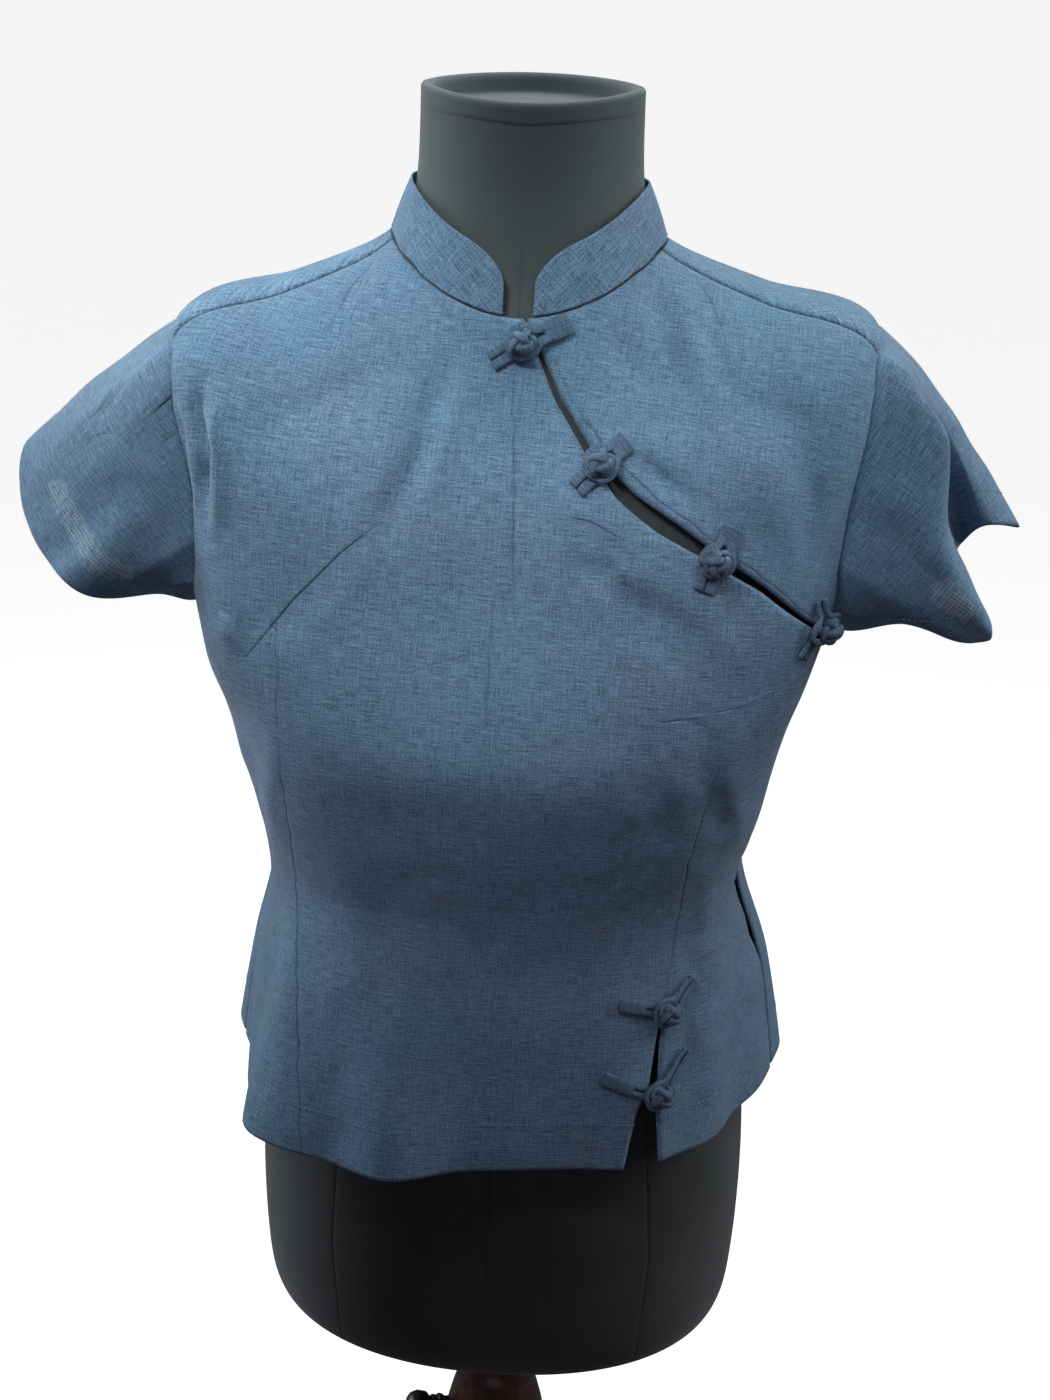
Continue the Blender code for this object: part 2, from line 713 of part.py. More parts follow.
def loop_mesh(centre, normal):
    """The loop of cord that the knot is pushed through."""
    turn = normal.to_track_quat("Z", "Y")
    rings = []
    for step in range(LOOP_STEPS):
        angle = 2 * math.pi * step / LOOP_STEPS
        ring = []
        for corner in range(LOOP_SIDES):
            around = 2 * math.pi * (corner + 0.5) / LOOP_SIDES
            reach = LOOP_RADIUS + LOOP_THICK * math.cos(around)
            rise = LOOP_THICK * math.sin(around)
            ring.append(centre + turn @ Vector((reach * math.cos(angle), reach * math.sin(angle), rise)))
        rings.append(ring)
    rings.append(rings[0])
    return mesh_from_rows("loop", rings, closed=True)


def make_frog(frog, seat):
    """Two nodes: the strap with the button knot, and the strap with the loop round it."""
    place, normal = seat(frog.knot_x, frog.knot_z)
    knot = Vector((frog.knot_x, frog.knot_z))
    knot_end = Vector((frog.knot_end_x, frog.knot_end_z))
    loop_end = Vector((frog.loop_end_x, frog.loop_end_z))
    centre = place + normal * KNOT_RISE
    strap = strap_mesh(frog.name, seat, knot_end, knot, frog.width, 0.0)
    joined(f"{frog.name}_knot", [strap, knot_mesh(centre, normal)])
    near = knot + (loop_end - knot).normalized() * LOOP_RADIUS
    strap = strap_mesh(frog.name, seat, loop_end, near, frog.width, LOOP_STRAP_RISE)
    ring_centre = place + normal * LOOP_RISE
    joined(f"{frog.name}_loop", [strap, loop_mesh(ring_centre, normal)])


# Turned pieces of the stand: (radius, height) down the outer side, in millimetres.
BASE_PROFILE = [
    (0, 26), (24, 26), (30, 23), (60, 20), (120, 17), (150, 14), (158, 8), (160, 4), (160, 0), (0, 0),
]
NECK_PROFILE = [
    (0, 299.7), (52, 299.7), (54, 296), (52, 291), (30, 286), (25, 278), (23, 262), (24, 246),
    (27, 240), (28, 236), (26, 231), (29, 222), (33, 206), (34, 190), (31, 170), (25, 154),
    (20, 146), (21, 142), (19, 138), (0, 138),
]
POST_PROFILE = [(0, 137.7), (13, 137.7), (13, 26.3), (0, 26.3)]
SCREW_PROFILE = [
    (0, 62), (7, 62), (10, 59), (11, 54), (9, 48), (5.5, 46), (6.5, 44.5), (6.5, 43), (5.5, 41.5),
    (6.5, 40), (6.5, 38.5), (5.5, 37), (4, 35.5), (4, 32.8), (0, 32.8),
]
SCREW_HEIGHT = 212
SCREW_AIM = (-0.94, -0.34, 0)
TURNED_STEPS = 28


def turned(name, profile, steps, finish):
    """A turned piece: its profile spun about the vertical axis."""
    mesh = bpy.data.meshes.new(name)
    points = [(radius * MM, 0, height * MM) for radius, height in profile]
    mesh.from_pydata(points, [(k, k + 1) for k in range(len(points) - 1)], [])
    obj = add_object(name, mesh, finish)
    screw = obj.modifiers.new("turn", "SCREW")
    screw.steps = steps
    screw.render_steps = steps
    screw.use_merge_vertices = True
    screw.merge_threshold = 0.00001
    screw.use_smooth_shade = True
    return obj


def main():
    for obj in list(bpy.data.objects):
        bpy.data.objects.remove(obj)
    for name in (COLLECTION, HELPERS):
        bpy.context.scene.collection.children.link(bpy.data.collections.new(name))
    bpy.data.collections[HELPERS].hide_render = True
    panels = [make_front(), make_left_chest()]
    make_back()
    make_sleeve("sleeve_left", 1, LEFT_SLEEVE_HEM, LEFT_FULLNESS)
    make_sleeve("sleeve_right", -1, RIGHT_SLEEVE_HEM, RIGHT_FULLNESS)
    make_collar()
    seat = seat_finder(panels)
    for frog in FROGS:
        make_frog(frog, seat)
    make_form()
    turned("stand_base", BASE_PROFILE, TURNED_STEPS, WOOD)
    turned("stand_neck", NECK_PROFILE, TURNED_STEPS, WOOD)
    turned("stand_post", POST_PROFILE, TURNED_STEPS // 2, METAL)
    screw = turned("clamp_screw", SCREW_PROFILE, TURNED_STEPS // 2, METAL)
    screw.rotation_euler = Vector(SCREW_AIM).to_track_quat("Z", "Y").to_euler()
    screw.location.z = SCREW_HEIGHT * MM


main()
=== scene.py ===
"""Looks of a short-sleeved top with a mandarin collar on its dress form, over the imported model.

Metres, +Z up. The wearer's front faces -Y and the wearer's left is +X. Body and cloth
surfaces are worked out in millimetres and turned to metres where a mesh is made.
"""

import math

import bmesh
import bpy
import numpy as np
from mathutils import Matrix, Vector
from mathutils.bvhtree import BVHTree


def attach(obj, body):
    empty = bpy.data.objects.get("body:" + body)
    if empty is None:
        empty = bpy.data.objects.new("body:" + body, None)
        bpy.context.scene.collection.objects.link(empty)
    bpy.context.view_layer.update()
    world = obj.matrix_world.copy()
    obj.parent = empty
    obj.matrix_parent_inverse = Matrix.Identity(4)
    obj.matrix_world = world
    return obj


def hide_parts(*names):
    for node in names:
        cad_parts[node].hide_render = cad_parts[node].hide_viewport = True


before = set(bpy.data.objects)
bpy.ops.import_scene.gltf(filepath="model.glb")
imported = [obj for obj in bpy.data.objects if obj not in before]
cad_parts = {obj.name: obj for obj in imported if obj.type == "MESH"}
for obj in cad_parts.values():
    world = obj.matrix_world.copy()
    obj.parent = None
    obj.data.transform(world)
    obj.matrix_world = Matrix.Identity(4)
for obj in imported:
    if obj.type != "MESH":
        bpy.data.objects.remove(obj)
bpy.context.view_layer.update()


# Camera, floor and lights
# The camera stands where the photograph was taken: 1.1 m in front of the neck, looking down.
PHOTO_HEIGHT_PIXELS = 1400
FOCAL_PIXELS = 2000
CAMERA_DISTANCE = 1.110
CAMERA_PITCH = math.radians(22.0)
CAMERA_YAW = math.radians(3.5)
CAMERA_ROLL = math.radians(1.8)
CAMERA_SIDESTEP = 0.0057
NECK_RIM_HEIGHT = 1.085
RIM_TO_EYE = math.radians(4.95)


def photo_camera():
    data = bpy.data.cameras.new("photo_camera")
    data.sensor_fit = "VERTICAL"
    data.sensor_height = 36.0
    data.lens = FOCAL_PIXELS / PHOTO_HEIGHT_PIXELS * data.sensor_height
    camera = bpy.data.objects.new("photo_camera", data)
    bpy.context.scene.collection.objects.link(camera)
    right = Vector((math.cos(CAMERA_YAW), math.sin(CAMERA_YAW), 0))
    ahead = Vector((-math.sin(CAMERA_YAW), math.cos(CAMERA_YAW), -math.tan(CAMERA_PITCH))).normalized()
    up = right.cross(ahead)
    eye_height = NECK_RIM_HEIGHT + CAMERA_DISTANCE * math.tan(RIM_TO_EYE)
    level_ahead = Vector((-math.sin(CAMERA_YAW), math.cos(CAMERA_YAW), 0))
    place = right * CAMERA_SIDESTEP - level_ahead * CAMERA_DISTANCE + Vector((0, 0, eye_height))
    cosine = math.cos(CAMERA_ROLL)
    sine = math.sin(CAMERA_ROLL)
    across = right * cosine + up * sine
    upwards = up * cosine - right * sine
    turn = Matrix((across, upwards, -ahead)).transposed().to_4x4()
    camera.matrix_world = Matrix.Translation(place) @ turn
    bpy.context.scene.camera = camera


def soft_light(name, place, target, width, height, power, color, spread=180):
    data = bpy.data.lights.new(name, "AREA")
    data.shape = "RECTANGLE"
    data.size = width
    data.size_y = height
    data.energy = power
    data.color = color
    data.spread = math.radians(spread)
    light = bpy.data.objects.new(name, data)
    light.location = place
    light.rotation_euler = (Vector(target) - Vector(place)).to_track_quat("-Z", "Y").to_euler()
    bpy.context.scene.collection.objects.link(light)


def filled(node, inputs):
    """Fill a node's inputs, given by name or number: a socket is linked, a value is set."""
    for key, value in inputs.items():
        if isinstance(value, bpy.types.NodeSocket):
            node.id_data.links.new(value, node.inputs[key])
        else:
            node.inputs[key].default_value = value
    return node


def node_maker(owner):
    """A function that adds nodes, with their inputs filled, to a material, world or group."""
    tree = getattr(owner, "node_tree", owner)

    def add(kind, inputs=None, **settings):
        node = tree.nodes.new(kind)
        for key, value in settings.items():
            setattr(node, key, value)
        return filled(node, inputs or {})

    return add


def mixed(add, factor, first, second, blend="MIX"):
    """A mix of two colours, each a socket or three values."""
    inputs = {"Factor": factor}
    for key, color in (("A", first), ("B", second)):
        inputs[key] = (*color, 1) if isinstance(color, tuple) else color
    return add("ShaderNodeMix", inputs, data_type="RGBA", blend_type=blend).outputs["Result"]


def new_material(name, roughness, **inputs):
    material = bpy.data.materials.new(name)
    material.use_nodes = True
    shader = material.node_tree.nodes["Principled BSDF"]
    named = {key.replace("_", " "): value for key, value in inputs.items()}
    return material, filled(shader, {"Roughness": roughness, **named})


def pale_floor():
    """A large floor that is pale to the camera and throws little light back."""
    size = 40.0
    mesh = bpy.data.meshes.new("floor")
    corners = [(-size, -size, 0), (size, -size, 0), (size, size, 0), (-size, size, 0)]
    mesh.from_pydata(corners, [], [(0, 1, 2, 3)])
    material, shader = new_material("pale_floor", 0.9, Specular_IOR_Level=0.0)
    add = node_maker(material)
    seen = add("ShaderNodeLightPath").outputs["Is Camera Ray"]
    glow = add("ShaderNodeMath", {0: seen, 1: 0.9}, operation="MULTIPLY")
    tone = mixed(add, seen, (0.10, 0.10, 0.10), (0.45, 0.45, 0.45))
    white = (1, 1, 1, 1)
    filled(shader, {"Base Color": tone, "Emission Color": white, "Emission Strength": glow.outputs[0]})
    mesh.materials.append(material)
    floor = bpy.data.objects.new("floor", mesh)
    bpy.context.scene.collection.objects.link(floor)


def soft_surroundings(color):
    """Dim light from all round, with white behind the object."""
    world = bpy.data.worlds.new("soft_surroundings")
    world.use_nodes = True
    add = node_maker(world)
    seen = add("ShaderNodeLightPath").outputs["Is Camera Ray"]
    tone = mixed(add, seen, color, (1.0, 1.0, 1.0))
    filled(world.node_tree.nodes["Background"], {"Color": tone})
    bpy.context.scene.world = world


photo_camera()
pale_floor()
soft_surroundings((0.031, 0.024, 0.031))
for lamp in [
    # name, place, aim, width, height, power, colour, and spread where it is narrow
    ("ceiling", (0, 0.5, 1.90), (0, 0, 0.9), 0.9, 0.6, 7.5, (0.85, 1.0, 1.04)),
    ("right_ceiling", (0.4, -0.2, 1.90), (0.06, 0, 0.9), 0.6, 0.6, 2.6, (0.95, 1.0, 1.08)),
    ("left_ceiling", (-0.7, 0, 1.80), (-0.05, 0, 0.9), 0.5, 0.5, 3.2, (0.85, 1.0, 1.04)),
    ("front_softbox", (-0.42, -0.70, 1.74), (-0.08, -0.09, 0.91), 0.35, 0.25, 0.285, (0.96, 1.0, 1.06), 22),
    ("chest_softbox", (0.45, -0.75, 1.55), (0.11, -0.08, 0.93), 0.2, 0.15, 0.045, (0.94, 1.0, 1.06), 17),
    ("left_window", (-1.6, 0.35, 1.25), (-0.1, 0, 0.75), 0.8, 1.3, 16.5, (0.94, 1.0, 1.10)),
    ("right_window", (1.6, 0.25, 1.45), (0.1, 0, 0.7), 0.8, 1.3, 15, (0.95, 1.0, 1.06)),
    ("room", (0, -2.2, 1.0), (0, 0, 0.8), 1.5, 1.5, 2.2, (1.38, 1.0, 1.34)),
]:
    soft_light(*lamp)
bpy.context.scene.view_settings.view_transform = "Standard"


# Dress form
# A padded papier-mache body without limbs, covered in black cloth that is sewn in long
# panels and turned in over the rim of the hollow neck.
RINGS = np.array(
    [
        # height, front drop, back drop, half width, front, back, square, ease side, front, back, lift
        [300, 0, 0, 110, 72, 68, 2.2, 0, 0, 0, 0],
        [305, 0, 0, 134, 89, 85, 2.2, 0, 0, 0, 0],
        [326, 0, 0, 149, 101, 97, 2.25, 0, 0, 0, 0],
        [366, 0, 0, 154, 106, 104, 2.3, 0, 0, 0, 0],
        [430, 0, 0, 155, 109, 109, 2.3, 15, 24, 22, 0],
        [491, 0, 0, 151, 108, 108, 2.3, 15, 22, 20, 0],
        [558, 0, 0, 140, 102, 98, 2.3, 18, 17, 17, 0],
        [627, 0, 0, 127, 94, 80, 2.3, 20, 18, 14, 0],
        [696, 2, 0, 141, 108, 92, 2.35, 20, 18, 10, 0],
        [744, 10, 0, 154, 124, 101, 2.45, 16, 9, 8, 0],
        [792, 24, 0, 174, 117, 107, 2.6, 10, 9, 8, 0],
        [880, 62, 16, 182, 103, 108, 2.9, 10, 8, 6, 1],
        [961.5, 95, 46, 184, 95, 101, 2.9, 11, 6, 6, 2.8],
        [983.5, 65, 32, 131, 80, 86, 2.4, 1.6, 3.6, 2.4, 2.4],
        [997, 45, 14, 93, 71, 69, 2.15, 1.0, 3.0, 2.0, 2.2],
        [1006, 33, 2, 74, 66, 58, 2.0, 1.6, 3.0, 2.4, 2.2],
        [1017, 26, 0, 65, 59, 53, 2.0, 0, 0, 0, 0],
        [1045, 12, 0, 61, 55, 51, 2.0, 0, 0, 0, 0],
        [1080, 5, -2, 60, 54, 51, 2.0, 0, 0, 0, 0],
    ]
)
HEM, BUST, UNDERARM, SHOULDER_TIP, NECK_SEAM, TOP_RING = 5, 9, 10, 12, 15, 18
MM = 0.001


def curved(start, end, slope_in, slope_out, t):
    """Values between two, on the smooth curve that has these slopes at its ends."""
    t2 = t * t
    t3 = t2 * t
    values = start * (2 * t3 - 3 * t2 + 1) + slope_in * (t3 - 2 * t2 + t)
    return values + end * (3 * t2 - 2 * t3) + slope_out * (t3 - t2)


def rings_at(s):
    """The ring columns at fractional rows s, on smooth curves through the rows."""
    last = len(RINGS) - 1
    low = np.clip(np.floor(s).astype(int), 0, last - 1)
    before, start, end, after = (RINGS[np.clip(low + k, 0, last)] for k in (-1, 0, 1, 2))
    return curved(start, end, (end - before) / 2, (after - start) / 2, (s - low)[..., None])


def body_place(s, angle, ease):
    """Points in millimetres at rows s and angles from the front centre to the wearer's left."""
    s, angle = np.broadcast_arrays(np.asarray(s, float), np.asarray(angle, float))
    columns = np.moveaxis(rings_at(s), -1, 0)
    height, front_drop, back_drop, half_width, front, back, square = columns[:7]
    ease_side, ease_front, ease_back, lift = columns[7:]
    sine = np.sin(np.radians(angle))
    cosine = np.cos(np.radians(angle))
    ahead = cosine > 0
    depth = np.where(ahead, front + ease * ease_front, back + ease * ease_back)
    drop = np.where(ahead, front_drop, back_drop)
    low_shoulder = np.interp(s, [10, 12, 13, 15], [0, 9, 5, 0]) * sine * sine * (sine < 0)
    x = np.copysign(np.abs(sine) ** (2 / square), sine) * (half_width + ease * ease_side)
    y = -np.copysign(np.abs(cosine) ** (2 / square), cosine) * depth
    z = height + ease * lift - low_shoulder - drop * cosine * cosine
    return np.stack([x, y, z], -1)


def squared(angle, power):
    """Angles whose sine and cosine are raised to a power, which evens out a squared ring."""
    sine = np.sin(np.radians(angle))
    cosine = np.cos(np.radians(angle))
    across = np.copysign(np.abs(sine) ** power, sine)
    ahead = np.copysign(np.abs(cosine) ** power, cosine)
    return np.degrees(np.arctan2(across, ahead))


def unit(vectors):
    return vectors / np.maximum(np.linalg.norm(vectors, axis=-1, keepdims=True), 1e-9)


def grid_mesh(name, points, closed=False, looped=False, skipped=None):
    """Quads through a grid of points in millimetres, with lengths along the grid as its UV map.

    closed joins the ends of each row, looped joins the last row to the first, and skipped is
    a column with no faces after it.
    """
    across = np.linalg.norm(np.diff(points, axis=1), axis=2).mean(0)
    upwards = np.linalg.norm(np.diff(points, axis=0), axis=2).mean(1)
    u = np.append(0, np.cumsum(np.append(across, across.mean()))) * MM
    v = np.append(0, np.cumsum(np.append(upwards, upwards.mean()))) * MM
    index = np.arange(points.shape[0] * points.shape[1]).reshape(points.shape[:2])
    if closed:
        index = np.concatenate([index, index[:, :1]], 1)
    if looped:
        index = np.concatenate([index, index[:1]], 0)
    row, column = np.meshgrid(np.arange(len(index) - 1), np.arange(index.shape[1] - 1), indexing="ij")
    if skipped is not None:
        row = np.delete(row, skipped, axis=1)
        column = np.delete(column, skipped, axis=1)
    row = np.stack([row, row, row + 1, row + 1], -1).reshape(-1, 4)
    column = np.stack([column, column + 1, column + 1, column], -1).reshape(-1, 4)
    mesh = bpy.data.meshes.new(name)
    mesh.from_pydata((points.reshape(-1, 3) * MM).tolist(), [], index[row, column].tolist())
    lengths = np.stack([u[column], v[row]], -1).reshape(-1).astype(np.float32)
    mesh.uv_layers.new(name="cloth").data.foreach_set("uv", lengths)
    mesh.shade_smooth()
    return mesh


def mark_lines(mesh, x, z, lines, reach=7.0):
    """Store each point's distance from the nearest drawn line and that line's depth there.

    Lines are (depth, [(x, z), ...]) in millimetres. The distance changes sign across a line,
    so that a material can draw it finer than the mesh is.
    """
    side = np.full(x.shape, 99.0)
    depth = np.zeros(x.shape)
    nearest = np.full(x.shape, np.inf)
    for line_depth, route in lines:
        route = np.array(route, float)
        steps = np.linalg.norm(np.diff(route, axis=0), axis=1)
        gone = np.append(0, np.cumsum(steps))
        for k, length in enumerate(steps):
            run = (route[k + 1] - route[k]) / length
            along = (x - route[k][0]) * run[0] + (z - route[k][1]) * run[1]
            across = (x - route[k][0]) * run[1] - (z - route[k][1]) * run[0]
            away = np.hypot(across, along - np.clip(along, 0, length))
            share = (gone[k] + np.clip(along, 0, length)) / gone[-1]
            fade = np.sin(math.pi * np.clip(share, 0.02, 0.98)) ** 0.5
            closer = away < nearest
            nearest = np.where(closer, away, nearest)
            side = np.where(closer, np.copysign(away, across), side)
            depth = np.where(closer, line_depth * fade * np.exp(-((away / reach) ** 2)), depth)
    for name, values in (("line_side", side), ("line_depth", depth)):
        layer = mesh.attributes.new(name, "FLOAT", "POINT")
        layer.data.foreach_set("value", values.ravel().astype(np.float32))


def placed(name, mesh, material):
    """A piece at the origin that moves with the whole part."""
    piece = bpy.data.objects.new(name, mesh)
    bpy.context.scene.collection.objects.link(piece)
    mesh.materials.append(material)
    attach(piece, "root")
    return piece


def worked(add, operation, *values, **settings):
    """The result of a Math node on values and sockets."""
    return add("ShaderNodeMath", dict(enumerate(values)), operation=operation, **settings).outputs[0]


def ramp(add, value, low, high):
    """How far a value is from low to high, from 0 to 1."""
    return add("ShaderNodeMapRange", {"Value": value, "From Min": low, "From Max": high}).outputs["Result"]


def noise_on(add, vector, scale, detail=2.0, dimensions="3D"):
    """A noise texture on stretched coordinates, as its factor socket."""
    stretch = add("ShaderNodeMapping", {"Vector": vector, "Scale": scale})
    inputs = {"Vector": stretch.outputs["Vector"], "Scale": 1.0, "Detail": detail}
    return add("ShaderNodeTexNoise", inputs, noise_dimensions=dimensions).outputs["Fac"]


def mixed_color(add, factor, dark, light, low=0.3, high=0.7):
    """A colour between two, as a factor goes from low to high."""
    return mixed(add, ramp(add, factor, low, high), dark, light)


def bumped(add, height, strength, distance, shader):
    bump = add("ShaderNodeBump", {"Height": height, "Strength": strength, "Distance": distance})
    filled(shader, {"Normal": bump.outputs["Normal"]})


def pressed_lines():
    """Shader group: the height in metres and the shade of the lines marked on a piece; the materials paint
    the shade into their colour as darker lines.
    """
    group = bpy.data.node_groups.new("pressed_lines", "ShaderNodeTree")
    width = group.interface.new_socket("Width", in_out="INPUT", socket_type="NodeSocketFloat")
    width.default_value = 0.6
    for name in ("Height", "Shade"):
        group.interface.new_socket(name, in_out="OUTPUT", socket_type="NodeSocketFloat")
    add = node_maker(group)
    side = add("ShaderNodeAttribute", attribute_name="line_side").outputs["Fac"]
    depth = add("ShaderNodeAttribute", attribute_name="line_depth").outputs["Fac"]
    widths = worked(add, "DIVIDE", worked(add, "ABSOLUTE", side), add("NodeGroupInput").outputs["Width"])
    profile = worked(add, "EXPONENT", worked(add, "MULTIPLY", widths, -1.0))
    shade = worked(add, "MULTIPLY", profile, depth)
    height = worked(add, "MULTIPLY", shade, -0.0007)
    add("NodeGroupOutput", {"Height": height, "Shade": shade})
    return group


LINES = pressed_lines()


def darkened(add, color, shade, share):
    """A colour made darker where shade is high: painted shade in creases, and dark seam lines."""
    return mixed(add, worked(add, "MULTIPLY", shade, share, use_clamp=True), color, (0.0, 0.0, 0.0))


def black_cover():
    """Black cotton cover, dusty in places, with painted light: greyer and paler towards the top of the
    neck.
    """
    material, shader = new_material("black_cover", 0.82, Sheen_Weight=0.25, Sheen_Roughness=0.5)
    add = node_maker(material)
    place = add("ShaderNodeTexCoord").outputs["Object"]
    fibre = noise_on(add, place, (1100, 1100, 1500), 3)
    dust = noise_on(add, place, (14, 14, 9), 4)
    share = worked(add, "MULTIPLY_ADD", fibre, 0.45, dust)
    color = mixed_color(add, share, (0.015, 0.021, 0.020), (0.040, 0.052, 0.049), 0.5, 0.95)
    # Painted light: from 0.90 m up to the neck's top the colour turns greyer and paler, where the neck is
    # lit.
    up = add("ShaderNodeSeparateXYZ", {0: place}).outputs["Z"]
    color = mixed(add, ramp(add, up, 0.90, 1.00), color, (0.062, 0.084, 0.080))
    lines = add("ShaderNodeGroup", {"Width": 0.9}, node_tree=LINES).outputs
    filled(shader, {"Base Color": darkened(add, color, lines["Shade"], 0.8)})
    bumped(add, worked(add, "MULTIPLY_ADD", fibre, 0.00016, lines["Height"]), 0.7, 1.0, shader)
    return material


# The cover's long seams, front and back, and the seam round the rim: depth, then x and height.
FORM_ROWS = 110
FORM_AROUND = 192
COVER_SEAMS = [
    (1.0, [(-92, 300), (-98, 400), (-84, 627), (-92, 744), (-80, 880)]),
    (1.0, [(0, 300), (0, 627), (0, 880), (0, 1010)]),
    (1.0, [(92, 300), (98, 400), (84, 627), (92, 744), (80, 880)]),
    (0.8, [(-62, 1075), (0, 1070), (62, 1075)]),
]


def form_body():
    shoulder_to_neck = np.linspace(UNDERARM, TOP_RING, FORM_ROWS)
    rows = np.concatenate([np.linspace(0, UNDERARM, FORM_ROWS)[:-1], shoulder_to_neck])
    around = np.linspace(0, 360, FORM_AROUND + 1)[:-1]
    angles = squared(around[None, :], np.interp(rows, range(19), RINGS[:, 6])[:, None] / 2)
    points = body_place(rows[:, None], angles, 0.0)
    # The neck's top: shares of the upper ring, and rises over it in millimetres.
    rim = [(1.0, 2.5), (1.0, 4.6), (0.985, 6.0), (0.955, 6.6), (0.92, 6.3), (0.89, 5.0)]
    rim += [(0.87, 2.5), (0.86, -1.5), (0.84, -3.0), (0.5, -3.2), (0.1, -3.2)]
    top = points[-1]
    middle = top.mean(0)
    turned_in = [middle + (top - middle) * share + np.array([0, 0, rise]) for share, rise in rim]
    first = points[0]
    foot = [first.mean(0) + (first - first.mean(0)) * share for share in (0.05, 0.6, 0.97)]
    points = np.concatenate([np.array(foot), points, np.array(turned_in)])
    mesh = grid_mesh("form_body", points, closed=True)
    mark_lines(mesh, points[..., 0], points[..., 2], COVER_SEAMS)
    capped(mesh)
    form = placed("form_body", mesh, black_cover())
    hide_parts("form_torso")


def capped(mesh):
    """Fill the open rings at a tube's ends, join points that coincide, and face outwards."""
    builder = bmesh.new()
    builder.from_mesh(mesh)
    bmesh.ops.remove_doubles(builder, verts=builder.verts, dist=0.000004)
    bmesh.ops.holes_fill(builder, edges=builder.edges, sides=0)
    bmesh.ops.recalc_face_normals(builder, faces=builder.faces)
    builder.to_mesh(mesh)
    builder.free()


form_body()


# Cloth of the top
# Plain-woven linen and cotton with thick and thin yarns, washed soft, in a dusty blue.
FOLDS = np.array(
    [
        # angle and height at the top, angle and height below, width, rise at the top, rise below
        [-30, 640, -30, 480, 58, 0, 31],
        [-14, 600, -14, 480, 20, 0, 14],
        [-27, 600, -28, 480, 18, 0, -6],
        [-50, 640, -48, 480, 24, 0, 14],
        [-84, 600, -82, 480, 26, 0, -6],
        [27, 600, 27, 480, 22, 0, 8],
        [64, 640, 66, 480, 32, 0, -10],
        [101, 640, 102, 480, 30, 2, 15],
        [-100, 640, -100, 480, 30, 2, 14],
        [150, 620, 148, 480, 34, 0, 9],
        [-152, 620, -150, 480, 34, 0, 9],
        [-36, 925, -42, 860, 20, -2.5, -1],
        [46, 925, 38, 870, 18, -3, -1],
        [-63, 905, -70, 830, 9, -3, -2],
        [-52, 800, -78, 745, 16, 3, 1],
        [84, 770, 88, 650, 48, -9, -10],
    ]
)
ROUND_LENGTH_PER_DEGREE = 2.6
CLOTH_THICK = 0.0009


def fold_rise(angle, height):
    """How far the large folds push the cloth outwards."""
    turned = (angle + 180) % 360 - 180
    rise = np.zeros_like(height)
    for top_angle, top_height, low_angle, low_height, width, top_rise, low_rise in FOLDS:
        run = np.array([(low_angle - top_angle) * ROUND_LENGTH_PER_DEGREE, low_height - top_height])
        across = (turned - top_angle) * ROUND_LENGTH_PER_DEGREE
        up = height - top_height
        along = np.clip((across * run[0] + up * run[1]) / (run @ run), 0, 1)
        away = np.hypot(across - run[0] * along, up - run[1] * along) / width
        rise += (top_rise + (low_rise - top_rise) * along) * np.exp(-away * away)
    return rise


def cloth_place(s, angle):
    """Points of the cloth's outer surface, in millimetres."""
    step = 0.02
    turn = 0.8
    up = body_place(s + step, angle, 1.0) - body_place(s - step, angle, 1.0)
    across = body_place(s, angle + turn, 1.0) - body_place(s, angle - turn, 1.0)
    base = body_place(s, angle, 1.0)
    return base + unit(np.cross(across, up)) * fold_rise(angle, base[..., 2])[..., None]


def grid_directions(points, closed=False):
    """Outward directions of a grid of points."""
    if closed:
        across = np.roll(points, -1, 1) - np.roll(points, 1, 1)
    else:
        across = np.gradient(points, axis=1)
    return unit(np.cross(across, np.gradient(points, axis=0)))


def soft_noise(a, b, size, seed):
    """Smooth uneven values between about -1 and 1 over two lengths, from crossed waves."""
    total = np.zeros_like(a)
    for k in range(6):
        turn = seed * 1.7 + k * 2.399
        wave = 2 * math.pi / (size * (0.7 + 0.13 * k))
        total += np.sin((a * math.cos(turn) + b * math.sin(turn)) * wave + seed * 3.1 + k * 1.9)
    return total / 3


def creased(points, creases, closed=False):
    """Push a grid of points in or out along creases drawn on its x and z, in millimetres."""
    x = points[..., 0]
    z = points[..., 2]
    rise = np.zeros_like(x)
    for x1, z1, x2, z2, width, height in creases:
        length = math.hypot(x2 - x1, z2 - z1)
        run = np.array([x2 - x1, z2 - z1]) / length
        forward = (x - x1) * run[0] + (z - z1) * run[1]
        along = np.clip(forward / length, 0, 1)
        wander = soft_noise(x, z, 46, x1 + z1) * width * 0.35
        across = (z - z1) * run[0] - (x - x1) * run[1] + wander
        away = np.hypot(across, forward - along * length) / width
        fade = np.sin(math.pi * np.clip(along * 0.86 + 0.07, 0, 1)) ** 0.7
        rise += height * np.exp(-away * away) * fade * (1 + 0.3 * soft_noise(x, z, 31, z2))
    return points + grid_directions(points, closed) * rise[..., None]


